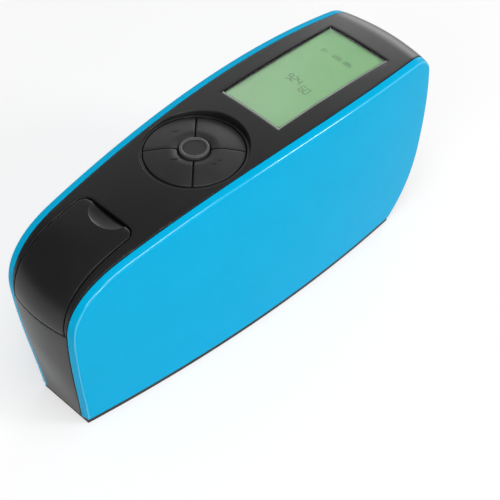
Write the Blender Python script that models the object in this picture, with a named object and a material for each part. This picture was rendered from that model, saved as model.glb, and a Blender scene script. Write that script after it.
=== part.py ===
"""Handheld gloss meter: two blue side shells either side of a black centre strip.

The instrument stands on its flat sole. +X runs from the battery nose to the
display end, -Y is the user's right hand side and Z = 0 is the surface measured.
Lengths are in metres, angles in degrees.
"""
import math

import bpy
import bmesh
from mathutils import Matrix, Vector

# Side outline of the body, seen along Y
BODY_LENGTH = 0.1600
SHELL_FOOT = 0.0025          # lower edge of the blue shells above the surface
NOSE_FOOT_BACK = 0.0044      # the nose leans forward by this from its foot
NOSE_HEIGHT = 0.0485         # where the nose reaches furthest forward
BROW_BACK = 0.0210           # end of the nose bend, behind the nose
BROW_HEIGHT = 0.0689
BROW_SLOPE = 11.0
TAIL_BACK = 0.0100           # start of the rear top corner, ahead of the tail
TAIL_HEIGHT = 0.0746
TAIL_SLOPE = -5.0
TAIL_CORNER_DROP = 0.0096    # height of the rear top corner
TAIL_WAIST = 0.0300          # height where the tail starts to tuck in
TAIL_FOOT_BACK = 0.0135

# Half widths of the body at its foot and outward lean of its side panels,
# each as a cubic along the length: nose, fore handle, aft handle, tail
FOOT_HALF = (0.01118, 0.01956, 0.02150, 0.01414)
PANEL_LEAN = (0.100, 0.013, 0.088, 0.078)
BAND_WIDTH = 0.0029          # blue rim between black strip and crease
BAND_DROP = 0.0006           # fall of that rim towards the crease
PANEL_BULGE = 0.0004         # outward bow of the side panels
TOP_CROWN = 0.00075          # rise of the strip's middle over its edges
END_CROWN = 0.0017           # the same on the nose and the tail
FOOT_CROWN_HEIGHT = 0.0300   # height over which the end crown grows

# Walls and running gaps
SHELL_WALL = 0.0020
COVER_WALL = 0.0020
SEAT_GAP = 0.0003
SEAM_GAP = 0.00035
REBATE_WIDTH = 0.0012        # ledge on the shells that carries the covers
REBATE_WALL = 0.0015
SEAM_HEIGHT = 0.0477         # seams of nose cover and rear cover

# Sole plate
SOLE_INSET = 0.0008
SOLE_WALL = 0.0025
SOLE_TRAY_NOSE_GAP = 0.0038  # from the sole's nose end to its raised tray
SOLE_TRAY_TAIL_GAP = 0.0067
SOLE_TRAY_INSET = 0.0034
APERTURE_X = 0.0100          # centre of the measuring aperture
APERTURE_LENGTH = 0.0250
APERTURE_WIDTH = 0.0110
APERTURE_CORNER = 0.0020

# Battery cover, battery and tray
LID_REACH = 0.0311           # from the nose to the cover's rear edge
LID_HALF = 0.0119
LID_CORNER = 0.0035
LID_SEAM = 0.00045
NOTCH_LENGTH = 0.0058        # thumb notch
NOTCH_HALF = 0.0078
NOTCH_DEPTH = 0.0013
TONGUE_WIDTH = 0.0045
TONGUE_SPREAD = 0.0100
TONGUE_WALL = 0.0012
TONGUE_REACH = 0.0026
CELL_DIAMETER = 0.0142
CELL_LENGTH = 0.0492
NUB_DIAMETER = 0.0055
NUB_HEIGHT = 0.0013
CELL_BACK = 0.0175           # cell's axis behind the nose
TRAY_WALL = 0.0012
TRAY_BORE_GAP = 0.0004
TRAY_FLOOR = 0.0015
TRAY_CORNER = 0.0030
TRAY_LIP_DROP = 0.0059       # tray's mouth below the cell's upper end
TRAY_SLOT_WIDTH = 0.0071     # open slot on the side of the optics
TRAY_SLOT_CORNER = 0.0015
SPRING_HEIGHT = 0.0040
SPRING_WIRE = 0.0008
SPRING_TURNS = 3.5
CONTACT_WALL = 0.0004
CONTACT_WIDTH = 0.0060

# Display
WINDOW_TAIL_GAP = 0.0170     # from the window's rear edge to the tail
WINDOW_LENGTH = 0.0520
WINDOW_WIDTH = 0.0269
WINDOW_SEAM = 0.0002
WINDOW_WALL = 0.0011
LCD_WALL = 0.0024
LCD_MARGIN = 0.0003
FRAME_LIP = 0.0035
FRAME_WALL = 0.0016
FRAME_CORNER = 0.0020
FRAME_POCKET_MARGIN = 0.0036 # band of the frame left round its pocket

# Key pad
PAD_TO_WINDOW = 0.0244       # from the pad's axis to the window
PAD_HEIGHT = 0.0743          # outer edge of the keys
PAD_RADIUS = 0.0165
PAD_RISE = 0.0019            # keys' dome, over their outer edge
PAD_GAP = 0.0004
DISH_RADIUS = 0.0181         # mouth of the dish
DISH_WALL_RUN = 0.0005       # outward run of the dish wall
DISH_DEPTH = 0.0023          # height over which the wall runs out, straight above
KEY_WALL = 0.0013
KEY_TRAVEL = 0.0005
KEY_FLOOR_WALL = 0.0015
KEY_SPLIT = 0.0005           # slot between two keys
CUP_WALL = 0.0009
WELL_RADIUS = 0.0064
WELL_DEPTH = 0.0009
CENTRE_KEY_RADIUS = 0.0050
CENTRE_KEY_RISE = 0.0018     # over the keys' outer edge
CENTRE_KEY_RIM = 0.0013      # width of its soft edge
CENTRE_KEY_DISH = 0.0001     # hollow of its flat disc
PLUNGER_DIAMETER = 0.0030
PLUNGER_RING = 0.0112        # radius on which the four plungers stand
PLUNGER_GAP = 0.0003
PLUNGER_LENGTH = 0.0032      # from key underside to dome
DOME_HEIGHT = 0.0006
DOME_DIAMETER = 0.0050
CONTACT_GAP = 0.0001         # between a dome's rim and the board

# Boards, optics and fasteners
BOARD_WALL = 0.0016
MAIN_BOARD_LENGTH = 0.0960
MAIN_BOARD_WIDTH = 0.0270
MAIN_BOARD_CORNER = 0.0020
MAIN_BOARD_X = 0.0140
BEAM_ANGLE = 60.0            # measured from the surface normal
OPTICS_HALF_WIDTH = 0.0110
OPTICS_FOOT_MARGIN = 0.0160  # block's foot beyond each end of the aperture
BORE_START = 0.0060          # distance of a bore's lower end from the measured spot
BARREL_LENGTH = 0.0520
BARREL_HALF = 0.0075
BORE_RADIUS = 0.0045
LENS_RADIUS = 0.0060
LENS_WALL = 0.0028
LENS_SEAT = 0.0420           # distance of the lens from the measured spot
LAMP_LENGTH = 0.0025         # pins' housing behind the plug
PLUG_RADIUS = 0.0060
PLUG_LENGTH = 0.0040
PLUG_POCKET = 0.0004
SPACER_HEIGHT = 0.0120
SPACER_RADIUS = 0.0022
SPACER_PITCH_X = 0.0640
SPACER_PITCH_Y = 0.0150
SCREW_RADIUS = 0.0011
SCREW_HEAD_RADIUS = 0.0021
SCREW_HEAD_HEIGHT = 0.0011
SCREW_CLEARANCE = 0.0002
SCREW_SEAT = 0.0006          # sole screws' heads above the surface measured
SOLE_SCREW_X = (-0.0350, 0.0520)
SOLE_SCREW_Y = 0.0112
SOLE_SCREW_LENGTH = 0.0100
BOSS_RADIUS = 0.0024         # bosses of the side shells that take the sole screws
BOSS_HEIGHT = 0.0070
BOSS_RIB_WALL = 0.0014

# Mesh fineness
OUTLINE_SAMPLES = 60
SHELL_COLUMNS = 58
COVER_ROWS = 8
ROUND_STEPS = 24
FINE_STEPS = 48

FRONT_X = -BODY_LENGTH / 2
REAR_X = BODY_LENGTH / 2
LID_STEP_X = FRONT_X + LID_REACH
CELL_X = FRONT_X + CELL_BACK
WINDOW_REAR_X = REAR_X - WINDOW_TAIL_GAP
WINDOW_NOSE_X = WINDOW_REAR_X - WINDOW_LENGTH
WINDOW_CENTRE_X = (WINDOW_REAR_X + WINDOW_NOSE_X) / 2
PAD_X = WINDOW_NOSE_X - PAD_TO_WINDOW
SOLE_TRAY_TOP = SHELL_FOOT + SOLE_WALL


# Plain helpers

def lerp(a, b, t):
    return a + (b - a) * t


def bezier(p0, p1, p2, p3, t):
    """Cubic Bezier of numbers or vectors at t."""
    u = 1 - t
    return p0 * u**3 + p1 * (3 * u * u * t) + p2 * (3 * u * t * t) + p3 * t**3


def clear_scene():
    for obj in list(bpy.data.objects):
        bpy.data.objects.remove(obj, do_unlink=True)


def principled(name, colour, roughness, metallic=0.0, transmission=0.0):
    """One Principled BSDF, colour as linear red, green and blue."""
    material = bpy.data.materials.new(name)
    material.use_nodes = True
    shader = material.node_tree.nodes["Principled BSDF"]
    shader.inputs["Base Color"].default_value = (*colour, 1.0)
    shader.inputs["Roughness"].default_value = roughness
    shader.inputs["Metallic"].default_value = metallic
    shader.inputs["Transmission Weight"].default_value = transmission
    return material


def new_object(name, mesh, material=None):
    obj = bpy.data.objects.new(name, mesh)
    bpy.context.scene.collection.objects.link(obj)
    if material is not None:
        mesh.materials.append(material)
    return obj


def finish_mesh(name, bm, smooth_angle=30.0):
    """Weld, turn the faces outwards and shade smooth between sharp edges."""
    bmesh.ops.remove_doubles(bm, verts=bm.verts, dist=1e-7)
    bmesh.ops.recalc_face_normals(bm, faces=bm.faces)
    mesh = bpy.data.meshes.new(name)
    bm.to_mesh(mesh)
    bm.free()
    mesh.shade_smooth()
    mesh.set_sharp_from_angle(angle=math.radians(smooth_angle))
    return mesh


def loft(name, sections, material=None, smooth_angle=30.0):
    """Closed body through closed sections that all have as many points."""
    bm = bmesh.new()
    rings = [[bm.verts.new(p) for p in section] for section in sections]
    count = len(rings[0])
    for ring, following in zip(rings, rings[1:]):
        for i in range(count):
            j = (i + 1) % count
            bm.faces.new((ring[i], ring[j], following[j], following[i]))
    bm.faces.new(rings[0])
    bm.faces.new(list(reversed(rings[-1])))
    return new_object(name, finish_mesh(name, bm, smooth_angle), material)


def prism(name, outline, low, high, axis="Z", material=None):
    """Extrude a flat outline; the pair of numbers lies across the axis."""
    place = {
        "Z": lambda a, b, c: Vector((a, b, c)),
        "Y": lambda a, b, c: Vector((a, c, b)),
    }[axis]
    return loft(name, [[place(a, b, level) for a, b in outline] for level in (low, high)], material)


def turned(name, profile, centre, axis=Vector((0, 0, 1)), steps=ROUND_STEPS, material=None):
    """Body turned from a profile of (radius, height) pairs that starts and ends on the axis."""
    tilt = Vector((0, 0, 1)).rotation_difference(axis).to_matrix()
    bm = bmesh.new()
    rings = []
    for radius, height in profile:
        ring = []
        for k in range(steps):
            angle = 2 * math.pi * k / steps
            spoke = Vector((radius * math.cos(angle), radius * math.sin(angle), height))
            ring.append(bm.verts.new(Vector(centre) + tilt @ spoke))
        rings.append(ring)
    for ring, following in zip(rings, rings[1:]):
        for i in range(steps):
            j = (i + 1) % steps
            bm.faces.new((ring[i], ring[j], following[j], following[i]))
    return new_object(name, finish_mesh(name, bm), material)


def rod_profile(radius, low, high):
    return [(0, low), (radius, low), (radius, high), (0, high)]


def rounded_rectangle(length, width, corner, centre=(0.0, 0.0), steps=4):
    """Outline with round corners, anticlockwise."""
    points = []
    for quarter, (sx, sy) in enumerate(((1, 1), (-1, 1), (-1, -1), (1, -1))):
        cx = centre[0] + sx * (length / 2 - corner)
        cy = centre[1] + sy * (width / 2 - corner)
        for k in range(steps + 1):
            angle = math.pi / 2 * (quarter + k / steps)
            points.append((cx + corner * math.cos(angle), cy + corner * math.sin(angle)))
    return points


def hide_tool(tool):
    tool.hide_render = True
    tool.display_type = "WIRE"
    return tool


def combine(obj, tool, operation):
    """Boolean with a hidden tool object."""
    modifier = obj.modifiers.new(operation.lower(), "BOOLEAN")
    modifier.operation = operation
    modifier.solver = "EXACT"
    modifier.object = hide_tool(tool)
    return modifier


def cut(obj, tool):
    return combine(obj, tool, "DIFFERENCE")


def join(obj, tool):
    return combine(obj, tool, "UNION")


# Side outline

def outline_curves():
    """Bezier pieces of the side outline, from the nose foot over the top to the tail foot."""
    brow = Vector((math.cos(math.radians(BROW_SLOPE)), math.sin(math.radians(BROW_SLOPE))))
    tail = Vector((math.cos(math.radians(TAIL_SLOPE)), math.sin(math.radians(TAIL_SLOPE))))
    nose_foot = Vector((FRONT_X + NOSE_FOOT_BACK, SHELL_FOOT))
    nose = Vector((FRONT_X, NOSE_HEIGHT))
    brow_end = Vector((FRONT_X + BROW_BACK, BROW_HEIGHT))
    tail_top = Vector((REAR_X - TAIL_BACK, TAIL_HEIGHT))
    tail_side = Vector((REAR_X - TAIL_BACK * 0.10, TAIL_HEIGHT - TAIL_CORNER_DROP))
    waist = Vector((REAR_X - TAIL_BACK * 0.07, TAIL_WAIST))
    tail_foot = Vector((REAR_X - TAIL_FOOT_BACK, SHELL_FOOT))
    top_span = (tail_top - brow_end).length
    back_span = tail_side.y - waist.y
    nose_span = nose.y - nose_foot.y
    bend = brow_end.y - nose.y
    tuck = waist.y - tail_foot.y
    return (
        (nose_foot, nose_foot + Vector((-NOSE_FOOT_BACK * 0.23, nose_span * 0.25)),
         nose - Vector((0, nose_span * 0.31)), nose),
        (nose, nose + Vector((0, bend * 0.61)), brow_end - brow * (BROW_BACK * 0.52), brow_end),
        (brow_end, brow_end + brow * (top_span * 0.325), tail_top - tail * (top_span * 0.295), tail_top),
        (tail_top, tail_top + tail * (TAIL_BACK * 0.5),
         tail_side + Vector((-TAIL_BACK * 0.03, TAIL_CORNER_DROP * 0.60)), tail_side),
        (tail_side, tail_side + Vector((TAIL_BACK * 0.12, -back_span * 0.26)),
         waist + Vector((TAIL_BACK * 0.13, back_span * 0.40)), waist),
        (waist, waist - Vector((TAIL_BACK * 0.13, tuck * 0.51)),
         tail_foot + Vector((TAIL_FOOT_BACK * 0.48, tuck * 0.20)), tail_foot),
    )


class Outline:
    """The side outline read by arc length, or by a height on the nose or tail."""

    def __init__(self):
        self.points = []
        for curve in outline_curves():
            start = 0 if not self.points else 1
            for k in range(start, OUTLINE_SAMPLES + 1):
                self.points.append(bezier(*curve, k / OUTLINE_SAMPLES))
        self.lengths = [0.0]
        for a, b in zip(self.points, self.points[1:]):
            self.lengths.append(self.lengths[-1] + (b - a).length)
        self.total = self.lengths[-1]

    def segment(self, s):
        low, high = 0, len(self.points) - 2
        while low < high:
            middle = (low + high + 1) // 2
            if self.lengths[middle] <= s:
                low = middle
            else:
                high = middle - 1
        return low

    def point(self, s):
        i = self.segment(s)
        span = self.lengths[i + 1] - self.lengths[i]
        return self.points[i].lerp(self.points[i + 1], (s - self.lengths[i]) / span)

    def inward(self, s):
        """Unit normal towards the inside of the body."""
        step = self.total * 0.004
        ahead = self.point(min(s + step, self.total))
        behind = self.point(max(s - step, 0.0))
        along = (ahead - behind).normalized()
        return Vector((along.y, -along.x))

    def find(self, test):
        """First arc length at which the test on a point turns true."""
        for i, p in enumerate(self.points):
            if test(p):
                return self.lengths[i]
        return self.total

    def refine(self, s, value, target):
        """Secant steps towards the arc length where value(point) equals target."""
        step = self.total * 1e-4
        for _ in range(12):
            error = value(self.point(s)) - target
            slope = (value(self.point(s + step)) - value(self.point(s - step))) / (2 * step)
            if abs(slope) < 1e-6:
                break
            s = min(max(s - error / slope, step), self.total - step)
        return s

    def at_x(self, x):
        """Arc length of a place on the top."""
        start = self.find(lambda p: p.y > NOSE_HEIGHT and p.x > x)
        return self.refine(start, lambda p: p.x, x)

    def on_nose(self, height):
        start = self.find(lambda p: p.y > height)
        return self.refine(start, lambda p: p.y, height)

    def on_tail(self, height):
        start = self.find(lambda p: p.x > 0 and p.y < height and p.x > REAR_X - 2 * TAIL_BACK)
        return self.refine(start, lambda p: p.y, height)

    def stations(self, start, end, count):
        """Arc lengths closer together where the outline bends."""
        fine = 240
        steps = [lerp(start, end, k / fine) for k in range(fine + 1)]
        weight = [0.0]
        for a, b in zip(steps, steps[1:]):
            turn = self.inward(a).angle(self.inward(b), 0.0)
            weight.append(weight[-1] + (b - a) + turn * self.total * 0.06)
        result = []
        i = 0
        for k in range(count + 1):
            goal = weight[-1] * k / count
            while i < fine - 1 and weight[i + 1] < goal:
                i += 1
            part = (goal - weight[i]) / (weight[i + 1] - weight[i])
            result.append(lerp(steps[i], steps[i + 1], min(max(part, 0.0), 1.0)))
        return result


RIM = Outline()
RIM_TOP = max(p.y for p in RIM.points)
CROWN_TOP = RIM_TOP + TOP_CROWN


def outer_half(x, z):
    """Half width of the side panels at a place in side view."""
    along = (x - FRONT_X) / BODY_LENGTH
    up = z - SHELL_FOOT
    share = up / (RIM_TOP - SHELL_FOOT)
    bow = PANEL_BULGE * 4 * share * (1 - share)
    return bezier(*FOOT_HALF, along) + bezier(*PANEL_LEAN, along) * up + bow


def strip_half(s):
    """Half width of the black strip at an arc length."""
    p = RIM.point(s)
    return outer_half(p.x, p.y) - BAND_WIDTH


def crown(s, y):
    """Height of the strip's surface over its edges."""
    p = RIM.point(s)
    facing = abs(RIM.inward(s).x)
    low = min(max((p.y - SHELL_FOOT) / FOOT_CROWN_HEIGHT, 0.0), 1.0)
    end = END_CROWN * low * low * (3 - 2 * low)
    rise = lerp(TOP_CROWN, end, facing**1.5)
    return rise * (1 - (y / strip_half(s))**2)


def skin(s, y, depth):
    """Point of the black strip, depth measured inwards from its surface."""
    p = RIM.point(s) + RIM.inward(s) * (depth - crown(s, y))
    return Vector((p.x, y, p.y))


def surface_height(x, y=0.0):
    """Height of the strip's surface over a place on the top."""
    return skin(RIM.at_x(x), y, 0.0).z


# Blue side shells

REBATE_DEPTH = COVER_WALL + SEAT_GAP
LEDGE_DEPTH = REBATE_DEPTH + REBATE_WALL


def foot_point(s, depth):
    """Where a line at a depth below the outline, followed from an end of it, meets the foot."""
    inward = RIM.inward(s)
    p = RIM.point(s) + inward * depth
    return Vector((p.x + (p.y - SHELL_FOOT) * inward.y / inward.x, SHELL_FOOT))


def shell_sections(side):
    """Closed sections of one shell: panel, rim band, rebate, ledge and inner wall."""
    rows = 5
    inner_rows = 2
    arc = RIM.stations(0.0, RIM.total, SHELL_COLUMNS)
    first, last = foot_point(0.0, BAND_DROP), foot_point(RIM.total, BAND_DROP)
    inner_first, inner_last = foot_point(0.0, LEDGE_DEPTH), foot_point(RIM.total, LEDGE_DEPTH)
    sections = []
    for s in arc:
        share = s / RIM.total
        half = strip_half(s)

        def at_depth(depth):
            if s in (arc[0], arc[-1]):
                return foot_point(s, depth)
            q = RIM.point(s) + RIM.inward(s) * depth
            return Vector((q.x, max(q.y, SHELL_FOOT)))

        crease = at_depth(BAND_DROP)
        foot = Vector((lerp(first.x, last.x, share), SHELL_FOOT))
        section = []
        for k in range(rows + 1):
            v = k / rows
            p = foot.lerp(crease, v)
            section.append((p.x, side * outer_half(p.x, p.y), p.y))

        ledge_half = half - REBATE_WIDTH
        lips = ((0.0, half), (REBATE_DEPTH, half), (REBATE_DEPTH, ledge_half), (LEDGE_DEPTH, ledge_half))
        for depth, y in lips:
            q = at_depth(depth)
            section.append((q.x, side * y, q.y))
        ledge = at_depth(LEDGE_DEPTH)
        inner_foot = Vector((lerp(inner_first.x, inner_last.x, share), SHELL_FOOT))
        for k in range(inner_rows + 1):
            v = 1 - k / inner_rows
            p = inner_foot.lerp(ledge, v)
            section.append((p.x, side * (outer_half(p.x, p.y) - SHELL_WALL), p.y))
        sections.append(section)
    return sections


def boss_outline(x, side, steps=16):
    """Round screw boss with the rib that ties it to the shell's wall."""
    rib = BOSS_RIB_WALL / 2
    open_angle = math.asin(rib / BOSS_RADIUS)
    points = []
    for k in range(steps + 1):
        angle = math.pi / 2 + lerp(open_angle, 2 * math.pi - open_angle, k / steps)
        points.append((x + BOSS_RADIUS * math.cos(angle), SOLE_SCREW_Y + BOSS_RADIUS * math.sin(angle)))
    wall = outer_half(x, SOLE_TRAY_TOP) - SHELL_WALL / 2
    points += [(x + rib, wall), (x - rib, wall)]
    return [(a, side * b) for a, b in points]


def make_shell(name, side, material):
    """Side shell with the ribbed bosses that take the sole screws."""
    shell = loft(name, shell_sections(side), material)
    low = SOLE_TRAY_TOP + SEAT_GAP
    high = low + BOSS_HEIGHT
    hole = rod_profile(SCREW_RADIUS + SCREW_CLEARANCE, low - SOLE_WALL, high - BOSS_RIB_WALL)
    for k, x in enumerate(SOLE_SCREW_X):
        join(shell, prism(f"{name}_boss_tool_{k}", boss_outline(x, side), low, high))
        cut(shell, turned(f"{name}_hole_tool_{k}", hole, (x, side * SOLE_SCREW_Y, 0), steps=12))
    return shell


# Black covers

def strip_patch(name, start, end, columns, half, depth_top, depth_low, material=None, rows=COVER_ROWS):
    """Piece of the strip between two arc lengths; half(s) is its half width."""
    sections = []
    for s in RIM.stations(start, end, columns):
        reach = half(s)
        across = [lerp(-reach, reach, k / rows) for k in range(rows + 1)]
        section = [skin(s, y, depth_top) for y in across]
        section += [skin(s, y, depth_low) for y in reversed(across)]
        sections.append(section)
    return loft(name, sections, material)


def cover_half(s):
    return strip_half(s) - SEAT_GAP


S_NOSE_SEAM = RIM.on_nose(SEAM_HEIGHT)
S_TAIL_SEAM = RIM.on_tail(SEAM_HEIGHT)
S_LID_STEP = RIM.at_x(LID_STEP_X)
S_LID_END = S_LID_STEP - LID_SEAM
FOOT_CLEAR = SOLE_WALL - SHELL_FOOT + SEAT_GAP


def lid_half(s, margin=0.0):
    """Half width of the battery cover with its round rear corners."""
    corner = LID_CORNER + margin
    into = s - (S_LID_END + margin - corner)
    if into <= 0:
        return LID_HALF + margin
    return LID_HALF + margin - corner + math.sqrt(max(corner**2 - into**2, 0.0))


def lid_stations(start, end, corner_start):
    """Even steps along the cover, then steps of equal angle round its corner."""
    steps = 6
    corner = end - corner_start
    bend = [corner_start + corner * math.sin(math.pi / 2 * k / steps) for k in range(1, steps + 1)]
    return RIM.stations(start, corner_start, 18) + bend


def lid_body(name, margin, depth_top, depth_low, start, material=None):
    """The battery cover's body, also used larger as the cutter of its opening."""
    end = S_LID_END + margin
    sections = []
    for s in lid_stations(start, end, end - LID_CORNER - margin):
        reach = lid_half(s, margin)
        across = [lerp(-reach, reach, k / COVER_ROWS) for k in range(COVER_ROWS + 1)]
        section = [skin(s, y, depth_top) for y in across]
        section += [skin(s, y, depth_low) for y in reversed(across)]
        sections.append(section)
    return loft(name, sections, material)


def make_battery_cover(material):
    cover = lid_body("battery_cover", 0.0, 0.0, COVER_WALL, S_NOSE_SEAM + SEAM_GAP, material)
    centre = skin(S_LID_END, 0.0, 0.0)
    ball = [(math.sin(math.pi * k / 12), -math.cos(math.pi * k / 12)) for k in range(13)]
    notch = turned("notch_tool", ball, (0, 0, 0))
    slope = math.atan2(RIM.inward(S_LID_END).x, -RIM.inward(S_LID_END).y)
    size = Matrix.Diagonal((NOTCH_LENGTH, NOTCH_HALF, NOTCH_DEPTH, 1.0))
    notch.data.transform(Matrix.Translation(centre) @ Matrix.Rotation(slope, 4, "Y") @ size)
    cut(cover, notch)
    for side in (-1, 1):
        join(cover, tongue_tool(side))
    return cover


def tongue_tool(side):
    """Hook on the cover's lower edge that reaches behind the nose cover."""
    y = side * TONGUE_SPREAD / 2
    root = S_NOSE_SEAM + SEAM_GAP
    back = COVER_WALL + SEAT_GAP
    sections = []
    for s, near, far in (
        (root - TONGUE_REACH, back, back + TONGUE_WALL),
        (root - SEAM_GAP, back, back + TONGUE_WALL),
        (root + SEAM_GAP, COVER_WALL * 0.5, back + TONGUE_WALL),
        (root + TONGUE_REACH, COVER_WALL * 0.5, back + TONGUE_WALL),
    ):
        low, high = y - TONGUE_WIDTH / 2, y + TONGUE_WIDTH / 2
        sections.append([skin(s, low, near), skin(s, high, near), skin(s, high, far), skin(s, low, far)])
    return loft(f"tongue_tool_{'left' if side > 0 else 'right'}", sections)


# Key pad: dish in the top cover, four sector keys and the centre key

KEY_UNDERSIDE = PAD_HEIGHT - KEY_WALL
PAD_FLOOR = KEY_UNDERSIDE - KEY_TRAVEL - SEAT_GAP
CUP_BOTTOM = PAD_FLOOR - KEY_FLOOR_WALL
WELL_FLOOR_RADIUS = CENTRE_KEY_RADIUS + PAD_GAP


def plunger_places():
    """The four keys' plungers on +X, +Y, -X and -Y, then the centre key's."""
    places = []
    for k in range(4):
        angle = math.pi / 2 * k
        places.append((PAD_X + PLUNGER_RING * math.cos(angle), PLUNGER_RING * math.sin(angle)))
    places.append((PAD_X, 0.0))
    return places


def key_top(radius):
    """Height of the domed keys at a distance from the pad's axis."""
    return PAD_HEIGHT + PAD_RISE * (1 - (radius / PAD_RADIUS)**2)


def sector_arc(radius, quarter, height, steps=8):
    """Arc of a sector key between two diagonal slots of constant width."""
    spread = math.pi / 4 - math.asin(KEY_SPLIT / 2 / radius)
    points = []
    for k in range(steps + 1):
        angle = math.pi / 2 * quarter + lerp(-spread, spread, k / steps)
        points.append((PAD_X + radius * math.cos(angle), radius * math.sin(angle), height))
    return points


def make_sector_key(name, quarter, material):
    """Domed sector key of even wall with a conical inner flank and a plunger below."""
    flank_foot = key_top(WELL_RADIUS) - WELL_DEPTH
    stations = [(WELL_FLOOR_RADIUS, flank_foot)]
    for k in range(4):
        radius = lerp(WELL_RADIUS, PAD_RADIUS, k / 3)
        stations.append((radius, key_top(radius)))
    sections = []
    for radius, top in stations:
        under = key_top(radius) - KEY_WALL
        sections.append(sector_arc(radius, quarter, top) + sector_arc(radius, quarter, under)[::-1])
    key = loft(name, sections, material)
    x, y = plunger_places()[quarter]
    high = key_top(PLUNGER_RING) - KEY_WALL / 2
    plunger = rod_profile(PLUNGER_DIAMETER / 2, KEY_UNDERSIDE - PLUNGER_LENGTH, high)
    join(key, turned(name + "_plunger_tool", plunger, (x, y, 0), steps=16))
    return key


def make_centre_key(material):
    """Round key with a flat disc inside a soft edge, turned with its plunger."""
    top = PAD_HEIGHT + CENTRE_KEY_RISE
    rim = CENTRE_KEY_RIM
    outer = CENTRE_KEY_RADIUS
    plunger = PLUNGER_DIAMETER / 2
    low = KEY_UNDERSIDE - PLUNGER_LENGTH
    profile = [
        (0, low), (plunger, low), (plunger, KEY_UNDERSIDE), (outer, KEY_UNDERSIDE),
        (outer, top - rim * 0.50), (outer - rim * 0.12, top - rim * 0.28),
        (outer - rim * 0.40, top - rim * 0.10), (outer - rim, top), (0, top - CENTRE_KEY_DISH),
    ]
    return turned("centre_key", profile, (PAD_X, 0, 0), steps=32, material=material)


def cup_tool():
    """Cup under the dish, kept inside the ledges of the side shells."""
    radius = DISH_RADIUS + CUP_WALL
    low, high = [], []
    for k in range(FINE_STEPS):
        angle = 2 * math.pi * k / FINE_STEPS
        x, y = PAD_X + radius * math.cos(angle), radius * math.sin(angle)
        limit = strip_half(RIM.at_x(x)) - REBATE_WIDTH - SEAT_GAP
        y = min(max(y, -limit), limit)
        low.append((x, y, CUP_BOTTOM))
        high.append((x, y, surface_height(x, y) - COVER_WALL / 2))
    return loft("cup_tool", [low, high])


def make_top_cover(material):
    """Crowned strip with the display opening, key dish and battery opening."""
    cover = strip_patch("top_cover", S_NOSE_SEAM + SEAM_GAP, S_TAIL_SEAM - SEAM_GAP, 48,
                        cover_half, 0.0, COVER_WALL, material)
    join(cover, cup_tool())
    for k, (x, y) in enumerate(frame_posts()):
        low = display_height(x, FRAME_TOP) + SEAT_GAP + SPACER_RADIUS * abs(DISPLAY_SLOPE)
        post = rod_profile(SPACER_RADIUS, low, surface_height(x, y) - COVER_WALL / 2)
        join(cover, turned(f"frame_post_tool_{k}", post, (x, y, 0), steps=12))
    mouth = CROWN_TOP + COVER_WALL
    bore = PAD_RADIUS + PAD_GAP
    dish = [
        (0, PAD_FLOOR), (bore, PAD_FLOOR), (bore, PAD_HEIGHT), (DISH_RADIUS - DISH_WALL_RUN, PAD_HEIGHT),
        (DISH_RADIUS, PAD_HEIGHT + DISH_DEPTH), (DISH_RADIUS, mouth), (0, mouth),
    ]
    cut(cover, turned("dish_tool", dish, (PAD_X, 0, 0), steps=FINE_STEPS))
    for k, (x, y) in enumerate(plunger_places()):
        hole = rod_profile(PLUNGER_DIAMETER / 2 + PLUNGER_GAP, CUP_BOTTOM - COVER_WALL, KEY_UNDERSIDE)
        cut(cover, turned(f"plunger_hole_tool_{k}", hole, (x, y, 0), steps=20))
    opening = rounded_rectangle(WINDOW_LENGTH, WINDOW_WIDTH, 2 * WINDOW_SEAM, (WINDOW_CENTRE_X, 0.0), steps=3)
    cut(cover, prism("window_tool", opening, display_height(WINDOW_CENTRE_X, FRAME_TOP), mouth))
    clear = 1.5 * COVER_WALL     # how far the cutter passes every face that it opens
    cut(cover, lid_body("lid_opening_tool", LID_SEAM, -clear, COVER_WALL + clear, S_NOSE_SEAM - clear))
    return cover


# Display: window, panel and the frame that holds both under the cover, parallel to the strip

EDGE_NOSE = surface_height(WINDOW_NOSE_X, WINDOW_WIDTH / 2)
EDGE_REAR = surface_height(WINDOW_REAR_X, WINDOW_WIDTH / 2)
DISPLAY_SLOPE = (EDGE_REAR - EDGE_NOSE) / WINDOW_LENGTH
PANEL_TOP = -WINDOW_WALL - SEAT_GAP
PANEL_BOTTOM = PANEL_TOP - LCD_WALL
FRAME_TOP = PANEL_BOTTOM - SEAT_GAP
FRAME_BOTTOM = FRAME_TOP - FRAME_WALL


def display_height(x, level):
    """Height of a display layer, its level measured from the line between the window's ends."""
    return (EDGE_NOSE + EDGE_REAR) / 2 + (x - WINDOW_CENTRE_X) * DISPLAY_SLOPE + level


def display_slab(name, outline, low, high, material=None):
    """Flat layer of the display between two levels."""
    sections = [[(x, y, display_height(x, level)) for x, y in outline] for level in (low, high)]
    return loft(name, sections, material)


def frame_posts():
    """Posts of the top cover that carry the display frame, outside the window."""
    x_out = WINDOW_LENGTH / 2 + SPACER_RADIUS + 2 * LCD_MARGIN
    y_out = WINDOW_WIDTH / 2 - SPACER_RADIUS
    return [(WINDOW_CENTRE_X + sx * x_out, sy * y_out) for sx in (-1, 1) for sy in (-1, 1)]


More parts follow.
